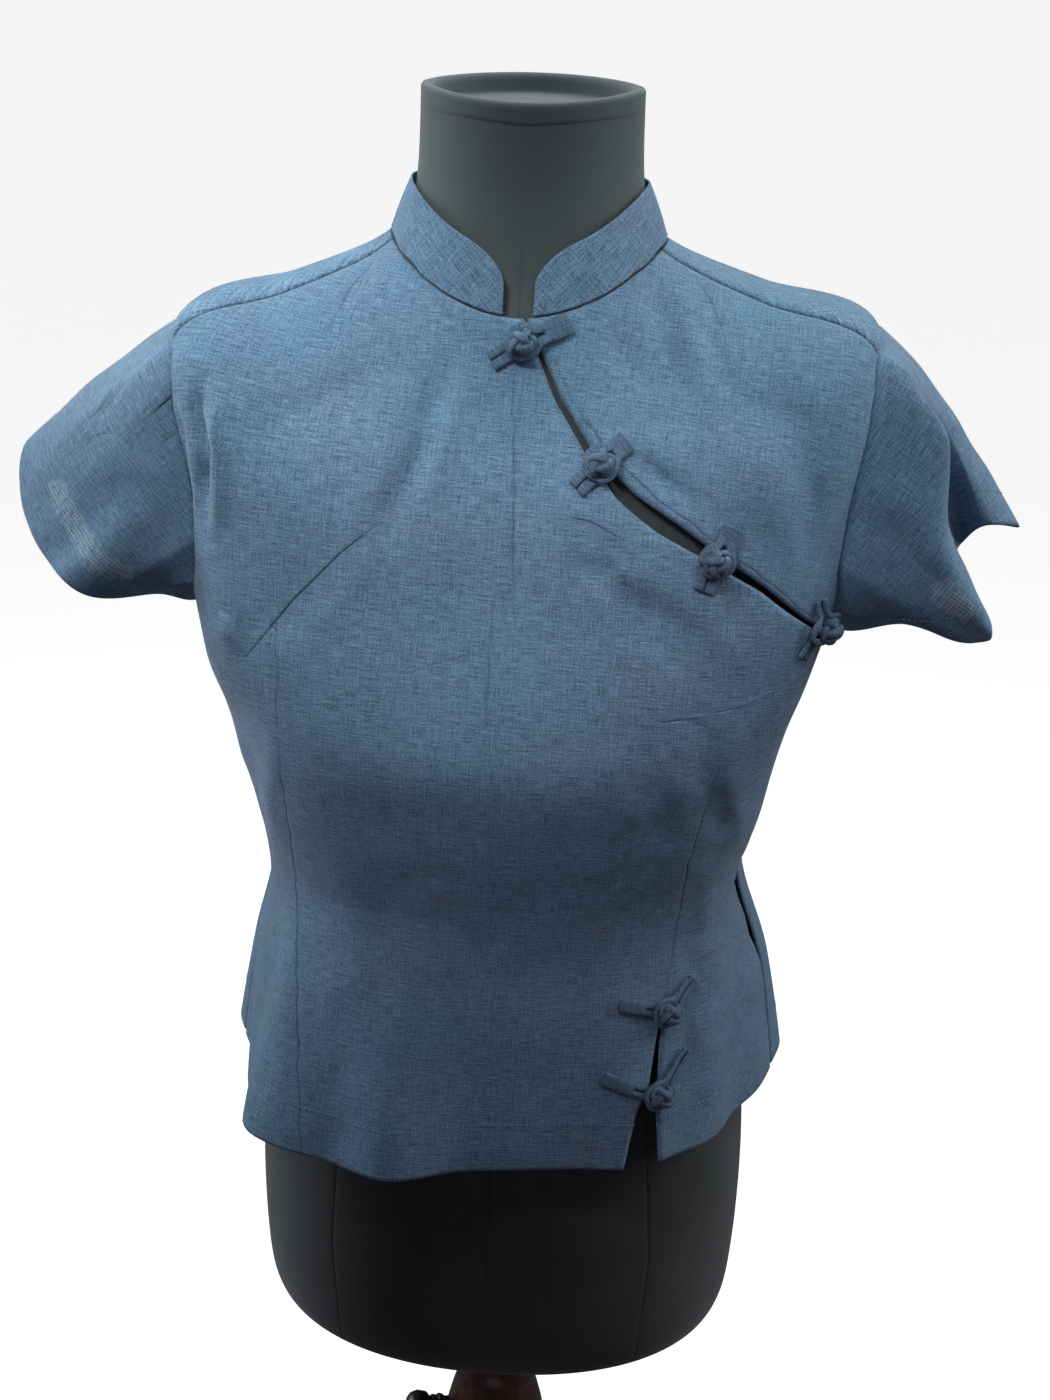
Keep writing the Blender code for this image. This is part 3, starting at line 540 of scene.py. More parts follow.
def slub_weave():
    """Shader group: a plain weave of uneven yarns, from the piece's UV map in metres.

    Shade is about 0.5 and Height is in metres. Specks are the pale thick places of yarns.
    """
    group = bpy.data.node_groups.new("slub_weave", "ShaderNodeTree")
    for name in ("Shade", "Specks", "Height"):
        group.interface.new_socket(name, in_out="OUTPUT", socket_type="NodeSocketFloat")
    add = node_maker(group)
    place = add("ShaderNodeUVMap").outputs["UV"]
    weft = noise_on(add, place, (120, 1350, 1), 1, "2D")
    warp = noise_on(add, place, (1350, 100, 1), 1, "2D")
    long_weft = noise_on(add, place, (22, 620, 1), 1, "2D")
    long_warp = noise_on(add, place, (560, 16, 1), 1, "2D")
    grain = noise_on(add, place, (1500, 1700, 1), 1, "2D")
    cloudy = noise_on(add, place, (26, 20, 1), 3, "2D")
    weights = [(weft, 0.55), (warp, 0.38), (long_weft, 0.18), (long_warp, 0.12)]
    weights += [(grain, 0.85), (cloudy, 0.08)]
    shade = 0.5 - sum(weight for _, weight in weights) / 2
    for socket, weight in weights:
        shade = worked(add, "MULTIPLY_ADD", socket, weight, shade)
    specks = ramp(add, noise_on(add, place, (170, 1000, 1), 1, "2D"), 0.70, 0.90)
    height = worked(add, "MULTIPLY", worked(add, "ADD", weft, warp), 0.00016)
    add("NodeGroupOutput", {"Shade": shade, "Specks": specks, "Height": height})
    return group


WEAVE = slub_weave()


def open_weave(add):
    """Mask of the pale threads that show where the cloth is worn thin: a ragged little grid."""
    flat = add("ShaderNodeUVMap").outputs["UV"]
    place = add("ShaderNodeSeparateXYZ", {0: flat}).outputs
    threads = []
    for axis, pitch in (("X", 0.0009), ("Y", 0.0011)):
        wave = worked(add, "PINGPONG", place[axis], pitch)
        threads.append(ramp(add, wave, pitch * 0.5, pitch * 0.9))
    patch = add("ShaderNodeAttribute", attribute_name="thin_patch").outputs["Fac"]
    ragged = worked(add, "MULTIPLY", patch, noise_on(add, flat, (260, 300, 1), 3, "2D"))
    return worked(add, "MULTIPLY", worked(add, "MAXIMUM", *threads), ramp(add, ragged, 0.26, 0.50))


def blue_linen(name, dark, light, specks):
    """The top's cloth, unevenly washed: darker where yarns are fine, paler along the thick ones."""
    material, shader = new_material(name, 0.86, Sheen_Weight=0.14, Sheen_Roughness=0.45)
    add = node_maker(material)
    weave = add("ShaderNodeGroup", node_tree=WEAVE).outputs
    lines = add("ShaderNodeGroup", node_tree=LINES).outputs
    color = mixed_color(add, weave["Shade"], dark, light, 0.2, 0.8)
    washed = noise_on(add, add("ShaderNodeTexCoord").outputs["Object"], (11, 11, 9), 3)
    tint = mixed_color(add, washed, (0.92, 1.02, 1.03), (1.07, 0.98, 0.985), 0.36, 0.64)
    color = mixed(add, 1.0, color, tint, "MULTIPLY")
    color = mixed(add, weave["Specks"], color, specks)
    color = mixed(add, open_weave(add), color, (0.32, 0.42, 0.47))
    # Painted shade: the marked lines darken the colour in creases and under the rolled slanted edge, and
    # darken the seams.
    filled(shader, {"Base Color": darkened(add, color, lines["Shade"], 0.55)})
    bumped(add, worked(add, "ADD", weave["Height"], lines["Height"]), 0.8, 1.0, shader)
    return material


LINEN = blue_linen("blue_linen", (0.041, 0.087, 0.132), (0.190, 0.328, 0.455), (0.26, 0.39, 0.49))


def nearest_vertex(places, point):
    return int(np.argmin(np.linalg.norm(places - point * MM, axis=1)))


def laid_flat(piece, foot, top, seam):
    """Give a sheet the UV map of its flat pattern, in metres, with the grain upright.

    foot and top are points of an upright thread, and seam is a row of points along which a
    tube is opened.
    """
    mesh = piece.data
    places = np.empty(len(mesh.vertices) * 3)
    mesh.vertices.foreach_get("co", places)
    places = places.reshape(-1, 3)
    if seam is not None:
        row = [nearest_vertex(places, point) for point in seam]
        opened = {frozenset(pair) for pair in zip(row, row[1:])}
        for edge in mesh.edges:
            edge.use_seam = frozenset(edge.vertices) in opened
    bpy.context.view_layer.objects.active = piece
    piece.select_set(True)
    bpy.ops.object.mode_set(mode="EDIT")
    bpy.ops.mesh.select_all(action="SELECT")
    bpy.ops.uv.unwrap(method="CONFORMAL", margin=0.0)
    bpy.ops.object.mode_set(mode="OBJECT")
    piece.select_set(False)
    count = len(mesh.loops)
    flat = np.empty(count * 2)
    mesh.uv_layers.active.data.foreach_get("uv", flat)
    flat = flat.reshape(-1, 2)
    corners = np.empty(count, int)
    mesh.loops.foreach_get("vertex_index", corners)
    low = flat[corners == nearest_vertex(places, foot)][0]
    run = flat[corners == nearest_vertex(places, top)][0] - low
    real = np.linalg.norm(top - foot) * MM
    size = np.linalg.norm(run)
    turn = np.array([[run[1], run[0]], [-run[0], run[1]]]) / size
    flat = (flat - low) @ turn * (real / size)
    mesh.uv_layers.active.data.foreach_set("uv", flat.reshape(-1).astype(np.float32))


def sunk_edges(points, columns=(), rows=(), depth=1.1):
    """Draw the first or last columns and rows inwards, as cloth rolls into a seam."""
    outwards = grid_directions(points)
    sunk = points.copy()
    for column in columns:
        sunk[:, column] -= outwards[:, column] * depth
    for row in rows:
        sunk[row] -= outwards[row] * depth
    return sunk


def cloth_piece(name, points, node, flat, area, grain, **making):
    """A sheet of the top's cloth through a grid of points, given the cloth's thickness.

    grain is two (row, column) places on an upright thread. making may give closed, skipped,
    seam, lines, patch and thick.
    """
    mesh = grid_mesh(name, points, making.get("closed", False), skipped=making.get("skipped"))
    piece = placed(name, mesh, LINEN)
    if "lines" in making:
        wave = soft_noise(points[..., 0], points[..., 2], 19, 5.0) * 0.5
        mark_lines(mesh, points[..., 0] + wave, points[..., 2] + wave, making["lines"])
    if "patch" in making:
        layer = mesh.attributes.new("thin_patch", "FLOAT", "POINT")
        layer.data.foreach_set("value", making["patch"].ravel().astype(np.float32))
    builder = bmesh.new()
    builder.from_mesh(mesh)
    bmesh.ops.remove_doubles(builder, verts=builder.verts, dist=0.000004)
    builder.to_mesh(mesh)
    builder.free()
    laid_flat(piece, points[grain[0]], points[grain[1]], making.get("seam"))
    wall = piece.modifiers.new("cloth", "SOLIDIFY")
    wall.thickness = making.get("thick", CLOTH_THICK)
    wall.offset = -1.0
    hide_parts(node)


# Front
# One piece from side seam to side seam, with two darts and a slanted edge from the neck to
# the wearer's left underarm. The left dart is left open at its foot as a vent.
# Lines over the body: height, then x or the width of a gap.
DIAGONAL = [(790, 184), (816, 166), (841, 137), (857, 112), (873, 85), (888, 62), (909, 41)]
DIAGONAL += [(935, 23), (974, 4)]
DIAGONAL_GAP = [(790, 2.4), (841, 2.8), (857, 4.0), (873, 6.5), (888, 5.0), (909, 2.2), (974, 1.6)]
LEFT_DART = [(480, 99), (526, 95), (560, 96), (612, 100), (681, 106), (744, 119)]
RIGHT_DART = [(480, -107), (571, -115), (612, -119), (681, -121), (744, -125)]
VENT_GAP = [(480, 22), (521, 12), (540, 5), (560, 3), (590, 0.6), (590.1, 0)]
ARMHOLE_SHARES = [0.0, 0.06, 0.16, 0.34, 0.62, 0.86, 0.97, 1.0]
ARMHOLE_FRONT = [0, -30, -50, -60, -57, -53, -45, -38]
ARMHOLE_BACK = [0, 32, 52, 62, 62, 54, 36, 20]
SHOULDER_SHARES = [0.0, 0.35, 0.7, 1.0]
SHOULDER_SEAM = [-38, -27, -21, -18]
SEAM_GAP = 0.3
EDGE_ROLL = 2.0
ROWS_BODY = np.linspace(HEM, UNDERARM, 172)
ROWS_ARM = np.linspace(UNDERARM, SHOULDER_TIP, 78)[1:]
ROWS_TOP = np.linspace(SHOULDER_TIP, NECK_SEAM, 42)[1:]


def read_line(line, key):
    heights, values = zip(*line)
    return np.interp(key, heights, values)


def angle_at_y(s, y):
    """Angle on the wearer's left where the rings at s pass y."""
    ring = rings_at(s)
    depth = np.where(y < 0, ring[..., 4] + ring[..., 8], ring[..., 5] + ring[..., 9])
    cosine = np.minimum(np.abs(y) / depth, 1.0) ** (ring[..., 6] / 2)
    return np.degrees(np.arccos(np.copysign(cosine, -y)))


def angle_on_line(s, line):
    """Angle at which the front of the rings at s crosses a line of heights and x."""
    low = np.full_like(s, -89.9)
    high = np.full_like(s, 89.9)
    for _ in range(30):
        middle = (low + high) / 2
        points = body_place(s, middle, 1.0)
        short = points[..., 0] < read_line(line, points[..., 2])
        low = np.where(short, middle, low)
        high = np.where(short, high, middle)
    return (low + high) / 2


def side_angles(s):
    """Where the front ends and the back begins at rows s, on the wearer's left."""
    arm = np.clip((s - UNDERARM) / (SHOULDER_TIP - UNDERARM), 0, 1)
    top = np.clip((s - SHOULDER_TIP) / (NECK_SEAM - SHOULDER_TIP), 0, 1)
    shoulder = angle_at_y(s, np.interp(top, SHOULDER_SHARES, SHOULDER_SEAM))
    armhole = s < SHOULDER_TIP
    front = np.where(armhole, angle_at_y(s, np.interp(arm, ARMHOLE_SHARES, ARMHOLE_FRONT)), shoulder)
    back = np.where(armhole, angle_at_y(s, np.interp(arm, ARMHOLE_SHARES, ARMHOLE_BACK)), shoulder)
    return np.where(s <= UNDERARM, 90.0, front), np.where(s <= UNDERARM, 90.0, back)


def gap_angle(s, gap):
    """Angle that a gap of this many millimetres takes at the side of a ring."""
    ring = rings_at(s)
    return np.degrees(gap / (ring[..., 4] + ring[..., 8]))


def row_angles(s, marks, counts):
    """Angles of every row, in even steps between its marks."""
    squareness = rings_at(s)[..., 6:7]
    even = [squared(mark[:, None], 2 / squareness) for mark in marks]
    parts = []
    for low, high, count in zip(even, even[1:], counts):
        shares = np.arange(count) / count
        parts.append(low + (high - low) * shares[None, :])
    parts.append(even[-1])
    return squared(np.concatenate(parts, 1), squareness / 2)


def left_edge(s):
    """Angle of the slanted edge, or of the side seam below the underarm."""
    edge = angle_on_line(s, DIAGONAL)
    gap = read_line(DIAGONAL_GAP, body_place(s, edge, 1.0)[..., 2])
    seam = 90.0 - gap_angle(s, SEAM_GAP / 2)
    return np.where(s <= UNDERARM, seam, edge - gap_angle(s, gap / 2))


def dart_angles(s, right_limit, left_limit):
    """Angles of the two dart lines, which run on as plain columns above the bust."""
    tip = np.array([float(BUST)])
    right_share = (angle_on_line(tip, RIGHT_DART)[0] + 90) / 180
    left_share = (angle_on_line(tip, LEFT_DART)[0] + 90) / 180
    spread = left_limit - right_limit
    right = np.where(s <= BUST, angle_on_line(s, RIGHT_DART), right_limit + spread * right_share)
    left = np.where(s <= BUST, angle_on_line(s, LEFT_DART), right_limit + spread * left_share)
    return right, left


# Soft creases of the front: x and height at both ends, width, and rise, negative for a trough.
FRONT_CREASES = [
    (-37, 946, -64, 862, 9, -3.6),
    (-26, 944, -48, 876, 8, 2.4),
    (-58, 930, -84, 868, 10, 1.6),
    (-89, 852, -138, 793, 14, -2.0),
    (-78, 850, -128, 790, 11, 1.6),
    (-83, 993, -104, 960, 8, -1.4),
    (-171, 932, -167, 862, 5, -6.5),
    (-160, 928, -158, 856, 5, 3.2),
    (22, 890, 92, 826, 11, 3.2),
    (36, 868, 66, 842, 11, -4.0),
    (60, 846, 96, 812, 13, -4.4),
    (74, 850, 128, 806, 9, 1.6),
    (-2, 905, 3, 820, 9, -0.9),
    (-9, 905, -6, 820, 7, 0.8),
    (-160, 850, -150, 770, 9, 1.8),
    (-145, 760, -150, 640, 10, -2.0),
    (-128, 752, -134, 660, 8, 1.6),
    (60, 760, 66, 715, 7, 1.3),
    (78, 768, 88, 700, 8, -1.6),
    (98, 760, 104, 690, 9, 1.0),
    (106, 790, 128, 640, 11, -1.6),
    (122, 770, 142, 620, 8, 1.8),
    (131, 701, 155, 529, 8, -2.8),
    (118, 660, 132, 500, 8, 2.2),
    (111, 620, 118, 510, 7, -2.0),
    (-134, 620, -142, 486, 9, -1.8),
    (-86, 660, -80, 486, 18, 1.2),
    (30, 640, 40, 486, 22, -1.3),
    (-10, 690, -14, 560, 26, 1.0),
    (66, 700, 62, 560, 14, 0.9),
    (-60, 720, -66, 600, 12, -0.8),
    (-44, 664, 10, 656, 8, 0.5),
]
# Pressed lines, seams and rows of stitches of the front: depth, then x and height. The depth also sets the
# painted shade along each line.
FRONT_LINES = [
    (0.8, [(2, 956), (-2, 949), (2, 895), (3, 854), (6, 812)]),
    (0.6, [(-5, 838), (-7, 802), (-7, 752)]),
    (1.5, [(-70, 868), (-89, 852), (-101, 839), (-114, 825), (-127, 808), (-142, 788)]),
    (0.9, [(26, 879), (43, 876), (62, 866)]),
    (0.5, [(-50, 792), (-33, 799), (-10, 806)]),
    (0.8, [(-82, 995), (-93, 980), (-104, 958)]),
    (0.7, [(-124, 815), (-123, 780), (-124, 744)]),
    (0.9, [(-124, 744), (-121, 681), (-119, 612), (-115, 571), (-107, 480)]),
    (0.9, [(121, 750), (106, 681), (100, 612), (97, 584)]),
    (0.4, [(-150, 905), (-128, 874), (-120, 850)]),
]
GENTLE_WAVES = 0.35


def front_panel():
    s = np.concatenate([ROWS_BODY, ROWS_ARM, ROWS_TOP])
    seam, _ = side_angles(s)
    right_limit = -seam + gap_angle(s, SEAM_GAP / 2)
    left_limit = left_edge(s)
    right_dart, left_dart = dart_angles(s, right_limit, left_limit)
    vent = gap_angle(s, read_line(VENT_GAP, body_place(s, left_dart, 1.0)[..., 2]))
    roll = gap_angle(s, EDGE_ROLL)
    counts = (1, 26, 90, 1, 34, 1)
    marks = [right_limit, right_limit + roll, right_dart]
    marks += [left_dart - vent, left_dart, left_limit - roll, left_limit]
    angles = row_angles(s, marks, counts)
    slit = sum(counts[:3])
    points = creased(cloth_place(s[:, None], angles), FRONT_CREASES)
    waves = soft_noise(points[..., 0], points[..., 2], 64, 2.0) * GENTLE_WAVES
    points = points + grid_directions(points) * waves[..., None]
    points[:, slit] += (points[:, slit + 1] - points[:, slit]) * (vent < 1e-9)[:, None]
    points = sunk_edges(points, columns=(0, -1), rows=(-1,))
    grain = ((3, 70), (170, 70))
    cloth_piece("front_panel", points, "front", (0.62, 0.56), 0.235, grain, skipped=slit, lines=FRONT_LINES)
    return points, slit


front_grid, vent_column = front_panel()


# Left chest
# The piece under the slanted opening, from the neck and the left shoulder to the armhole.
LEFT_CHEST_CREASES = [
    (70, 985, 92, 930, 7, -3.2),
    (84, 982, 104, 936, 6, 2.6),
    (52, 968, 74, 936, 7, -2.2),
    (60, 907, 96, 889, 6, -3.0),
    (62, 920, 92, 902, 8, 2.0),
    (150, 930, 164, 850, 8, -2.4),
    (112, 920, 150, 880, 14, 1.8),
    (96, 884, 132, 868, 9, -1.4),
]
LEFT_CHEST_LINES = [(0.7, [(92, 993), (100, 983), (110, 962)])]


def left_chest():
    s = np.concatenate([ROWS_ARM, ROWS_TOP])
    seam, _ = side_angles(s)
    edge = angle_on_line(s, DIAGONAL)
    edge = edge + gap_angle(s, read_line(DIAGONAL_GAP, body_place(s, edge, 1.0)[..., 2]) / 2)
    end = seam - gap_angle(s, SEAM_GAP / 2)
    roll = np.minimum(gap_angle(s, EDGE_ROLL), (end - edge) / 4)
    angles = row_angles(s, [edge, edge + roll, end - roll, end], (1, 70, 1))
    points = creased(cloth_place(s[:, None], angles), LEFT_CHEST_CREASES)
    points = sunk_edges(points, columns=(0, -1), rows=(-1,))
    # The short crease, and painted shade along the slanted edge, where the cloth rolls under.
    lines = LEFT_CHEST_LINES + [(0.9, points[::6, 2][:, ::2])]
    upright = [np.hypot(points[..., 0] - x, points[..., 2] - z) for x, z in ((108, 872), (116, 955))]
    grain = [np.unravel_index(np.argmin(away), away.shape) for away in upright]
    cloth_piece("left_chest_panel", points, "left_chest", (0.21, 0.26), 0.03, grain, lines=lines)
    return points


chest_grid = left_chest()


# Back
# One piece, side seam to side seam, that comes over the shoulders to the seams in front.
BACK_CREASES = [
    (0, 900, -6, 780, 26, -1.2),
    (-150, 880, -110, 800, 14, -1.6),
    (150, 880, 108, 800, 14, -1.6),
    (-118, 860, -92, 760, 12, 1.3),
    (120, 850, 96, 760, 12, 1.3),
    (-60, 690, 50, 676, 9, -1.6),
    (-92, 668, 10, 652, 8, 1.3),
    (-20, 640, 96, 658, 8, -1.4),
    (-60, 620, -70, 486, 14, 1.5),
    (36, 610, 42, 486, 16, -1.6),
    (92, 620, 100, 486, 12, 1.5),
    (-118, 610, -126, 486, 12, -1.5),
    (-40, 960, 40, 958, 12, -1.0),
]
# Back darts and a crease, darkened with painted shade: depth, then x and height.
BACK_LINES = [
    (0.9, [(-78, 790), (-70, 627), (-84, 486)]),
    (0.9, [(78, 790), (70, 627), (84, 486)]),
    (0.7, [(-30, 690), (24, 676), (60, 682)]),
]


def back_panel():
    s = np.concatenate([ROWS_BODY[::2], ROWS_ARM, ROWS_TOP])
    _, seam = side_angles(s)
    first = seam + gap_angle(s, SEAM_GAP / 2)
    roll = gap_angle(s, EDGE_ROLL)
    half = row_angles(s, [first, first + roll, np.full_like(s, 180.0)], (1, 66))
    half[:, -1] = 180.0
    angles = np.concatenate([half, 360 - half[:, -2::-1]], 1)
    points = creased(cloth_place(s[:, None], angles), BACK_CREASES)
    points = sunk_edges(points, columns=(0, -1), rows=(-1,))
    grain = ((3, 67), (85, 67))
    cloth_piece("back_panel", points, "back", (0.56, 0.56), 0.235, grain, lines=BACK_LINES)
    return points


back_grid = back_panel()


# Sleeves
# Short flared sleeves of the same cloth, set into the armholes, with a turned hem.
RIGHT_SLEEVE_HEM = [
    # share of the way round from the underarm up the front, distance out, y, height
    (0.0, 186, 0, 791),
    (0.1, 206, -44, 806),
    (0.2, 238, -62, 808),
    (0.31, 268, -50, 828),
    (0.41, 286, -26, 853),
    (0.5, 289, 2, 877),
    (0.62, 280, 36, 866),
    (0.76, 254, 56, 842),
    (0.88, 214, 44, 814),
]
LEFT_SLEEVE_HEM = [
    (0.0, 187, 0, 789),
    (0.1, 222, -38, 806),
    (0.19, 256, -60, 806),
    (0.27, 264, -62, 816),
    (0.4, 248, -20, 846),
    (0.52, 268, 4, 856),
    (0.61, 288, 20, 850),
    (0.76, 256, 56, 836),
    (0.88, 216, 44, 808),
]
SLEEVE_AROUND = 200
SLEEVE_ROWS = 64


def loop_places(table, shares):
    """Smooth points of a closed table of hem points at shares of the way round."""
    table = np.array(table)
    count = len(table)
    starts = np.append(table[:, 0], 1.0)
    low = np.clip(np.searchsorted(starts, shares, side="right") - 1, 0, count - 1)
    t = ((shares - starts[low]) / (starts[low + 1] - starts[low]))[:, None]
    before, start, end, after = (table[(low + k) % count, 1:] for k in (-1, 0, 1, 2))
    return curved(start, end, (end - before) / 2, (after - start) / 2, t)


def armhole_places(side):
    """The armhole's points, evenly spaced from the underarm up the front."""
    s = np.linspace(UNDERARM, SHOULDER_TIP, 120)
    front_angle, back_angle = side_angles(s)
    front_angle[0] = back_angle[0] = 90.0
    front_angle[-1] = back_angle[-1]
    in_front = cloth_place(s, front_angle * side)
    behind = cloth_place(s, back_angle * side)
    places = np.concatenate([in_front, behind[-2:0:-1]])
    closed = np.concatenate([places, places[:1]])
    lengths = np.append(0, np.cumsum(np.linalg.norm(np.diff(closed, axis=0), axis=1)))
    shares = np.linspace(0, 1, SLEEVE_AROUND + 1)[:-1]
    return shares, np.stack([np.interp(shares * lengths[-1], lengths, closed[:, k]) for k in range(3)], 1)


def sleeve_folds(shares, along, folds):
    """Rise of the cloth over folds given by share and reach at both ends, width and height."""
    rise = np.zeros((len(along), len(shares)))
    for share1, along1, share2, along2, width, height in folds:
        line = share1 + (share2 - share1) * np.clip((along - along1) / (along2 - along1), 0, 1)
        off = (shares[None, :] - line[:, None] + 0.5) % 1.0 - 0.5
        starting = np.clip((along - along1 + 0.15) / 0.15, 0, 1)
        ending = np.clip((along2 + 0.12 - along) / 0.12, 0, 1)
        strength = starting * ending * (0.35 + 0.65 * np.clip((along - along1) / (along2 - along1), 0, 1))
        rise += height * np.exp(-((off / width) ** 2)) * strength[:, None]
    return rise * np.minimum(along * 8, 1)[:, None]


def sleeve_shift(shares, along, shifts):
    """Sideways pushes of whole folds: share, width, place and reach along, x, y and z."""
    total = np.zeros((len(along), len(shares), 3))
    for share, width, place, reach, *push in shifts:
        off = (shares - share + 0.5) % 1.0 - 0.5
        near = np.clip(1 - np.abs(along - place) / reach, 0, 1)
        near = near * near * (3 - 2 * near)
        total += (near[:, None] * np.exp(-((off / width) ** 2)))[..., None] * np.array(push)
    return total


def sleeve(name, node, side, hem, fullness, folds, shifts, patch, lines):
    """A flared tube from the armhole to the hem. patch is where its cloth is worn thin."""
    shares, start = armhole_places(side)
    end = loop_places(hem, shares) * np.array([side, 1, 1])
    run = end - start
    reach = -1.2 / np.linalg.norm(run, axis=1)
    along = np.concatenate([[0, 0.02], np.linspace(0.05, 1, SLEEVE_ROWS - 2)])
    way = reach[None, :] + (1 - reach)[None, :] * along[:, None]
    points = start[None] + run[None] * way[..., None]
    lift = fullness * np.sin(math.pi * along)[:, None] * np.sin(math.pi * shares)[None, :] ** 3
    points[..., 2] += lift
    points += sleeve_shift(shares, along, shifts) * np.array([side, 1, 1])
    outwards = grid_directions(points, closed=True) * -side
    rise = sleeve_folds(shares, along, folds)
    waves = soft_noise(points[..., 1], points[..., 2], 34, 3.0) * 0.5 * np.minimum(along * 4, 1)[:, None]
    rise = rise + waves
    rise[0] -= 1.0
    rise[1] -= 0.4
    points = points + outwards * rise[..., None]
    width, route = patch
    thin = np.zeros(points.shape[:2])
    in_front = points[..., 1] < 0
    for first, last in zip(np.array(route), np.array(route[1:])):
        stretch = last - first
        seen = points[..., [0, 2]] - first
        nearest = np.clip(seen @ stretch / (stretch @ stretch), 0, 1)
        away = np.linalg.norm(seen - nearest[..., None] * stretch, axis=2)
        thin = np.maximum(thin, np.clip(1.6 - away / width, 0, 1) * in_front)
    if side > 0:
        points = points[:, ::-1]
        thin = thin[:, ::-1]
    underarm = SLEEVE_AROUND - 1 if side > 0 else 0
    front_column = SLEEVE_AROUND - 41 if side > 0 else 40
    grain = ((SLEEVE_ROWS - 8, front_column), (2, front_column))
    seam = points[:, underarm]
    cloth_piece(
        name, points, node, (0.42, 0.15), 0.036, grain, closed=True, seam=seam, patch=thin, lines=lines
    )
    return points


RIGHT_SLEEVE_FOLDS = [
    # share and reach at both ends, width, height
    (0.45, 0.0, 0.40, 0.42, 0.010, -1.6),
    (0.26, 0.1, 0.23, 1.0, 0.035, 4.0),
    (0.05, 0.0, 0.05, 1.0, 0.03, 1.5),
    (0.37, 0.3, 0.36, 1.0, 0.03, -1.5),
    (0.66, 0.0, 0.70, 1.0, 0.03, -2.5),
    (0.78, 0.1, 0.82, 1.0, 0.035, 2.2),
]
RIGHT_SLEEVE_SHIFTS = [(0.11, 0.075, 1.0, 0.75, 0, 15, -8), (0.24, 0.035, 1.0, 0.8, 0, -4, 2)]
# Small creases by the armhole and half-way down, darkened with painted shade: depth, then x and height.
RIGHT_SLEEVE_LINES = [
    (1.6, [(-199, 911), (-193, 917), (-186, 923)]),
    (0.8, [(-240, 901), (-234, 907), (-228, 917)]),
    (0.6, [(-238, 892), (-232, 895), (-225, 896)]),
    (0.6, [(-196, 893), (-190, 899), (-184, 903)]),
]
LEFT_SLEEVE_FOLDS = [
    (0.25, 0.1, 0.24, 0.6, 0.03, -3.0),
    (0.17, 0.1, 0.16, 1.0, 0.035, 2.0),
    (0.68, 0.0, 0.72, 1.0, 0.03, -2.4),
    (0.80, 0.1, 0.84, 1.0, 0.035, 2.2),
]
LEFT_SLEEVE_SHIFTS = [
    (0.43, 0.04, 1.0, 0.7, 2, 20, -11),
    (0.54, 0.05, 1.0, 0.8, -6, -19, 3),
    (0.36, 0.045, 0.42, 0.36, 17, 2, 8),
    (0.44, 0.06, 0.25, 0.3, 4, -7, 5),
]
LEFT_SLEEVE_LINES = [(0.6, [(226, 848), (230, 856), (232, 864)])]
# Where each sleeve is worn thin: the half width, then x and height.
RIGHT_SLEEVE_PATCH = (7.5, [(-259, 861), (-247, 845), (-231, 828), (-219, 822)])
LEFT_SLEEVE_PATCH = (7.5, [(236, 834), (246, 824)])
right_sleeve_grid = sleeve(
    "right_sleeve", "sleeve_right", -1, RIGHT_SLEEVE_HEM, 5,
    RIGHT_SLEEVE_FOLDS, RIGHT_SLEEVE_SHIFTS, RIGHT_SLEEVE_PATCH, RIGHT_SLEEVE_LINES,
)
left_sleeve_grid = sleeve(
    "left_sleeve", "sleeve_left", 1, LEFT_SLEEVE_HEM, 15,
    LEFT_SLEEVE_FOLDS, LEFT_SLEEVE_SHIFTS, LEFT_SLEEVE_PATCH, LEFT_SLEEVE_LINES,
)


# Collar
# The standing mandarin band: two layers of cloth with rounded front corners.
COLLAR_TOP_HALF_WIDTH, COLLAR_TOP_FRONT, COLLAR_TOP_BACK = 64.5, 63, 57
COLLAR_TOP_HEIGHT, COLLAR_TOP_DROP = 1038, 31
COLLAR_HEIGHT, COLLAR_CORNER, COLLAR_FRONT_ANGLE = 38, 23, 6.2
# Soft creases of the collar, in the same columns as the front's.
COLLAR_CREASES = [
    (16, 978, 30, 1000, 3.5, 0.6),
    (26, 976, 42, 1004, 3.5, -0.7),
    (40, 984, 56, 1010, 4.0, 0.6),
    (-20, 980, -36, 1002, 4.0, -0.6),
    (-48, 992, -60, 1018, 4.0, 0.6),
]


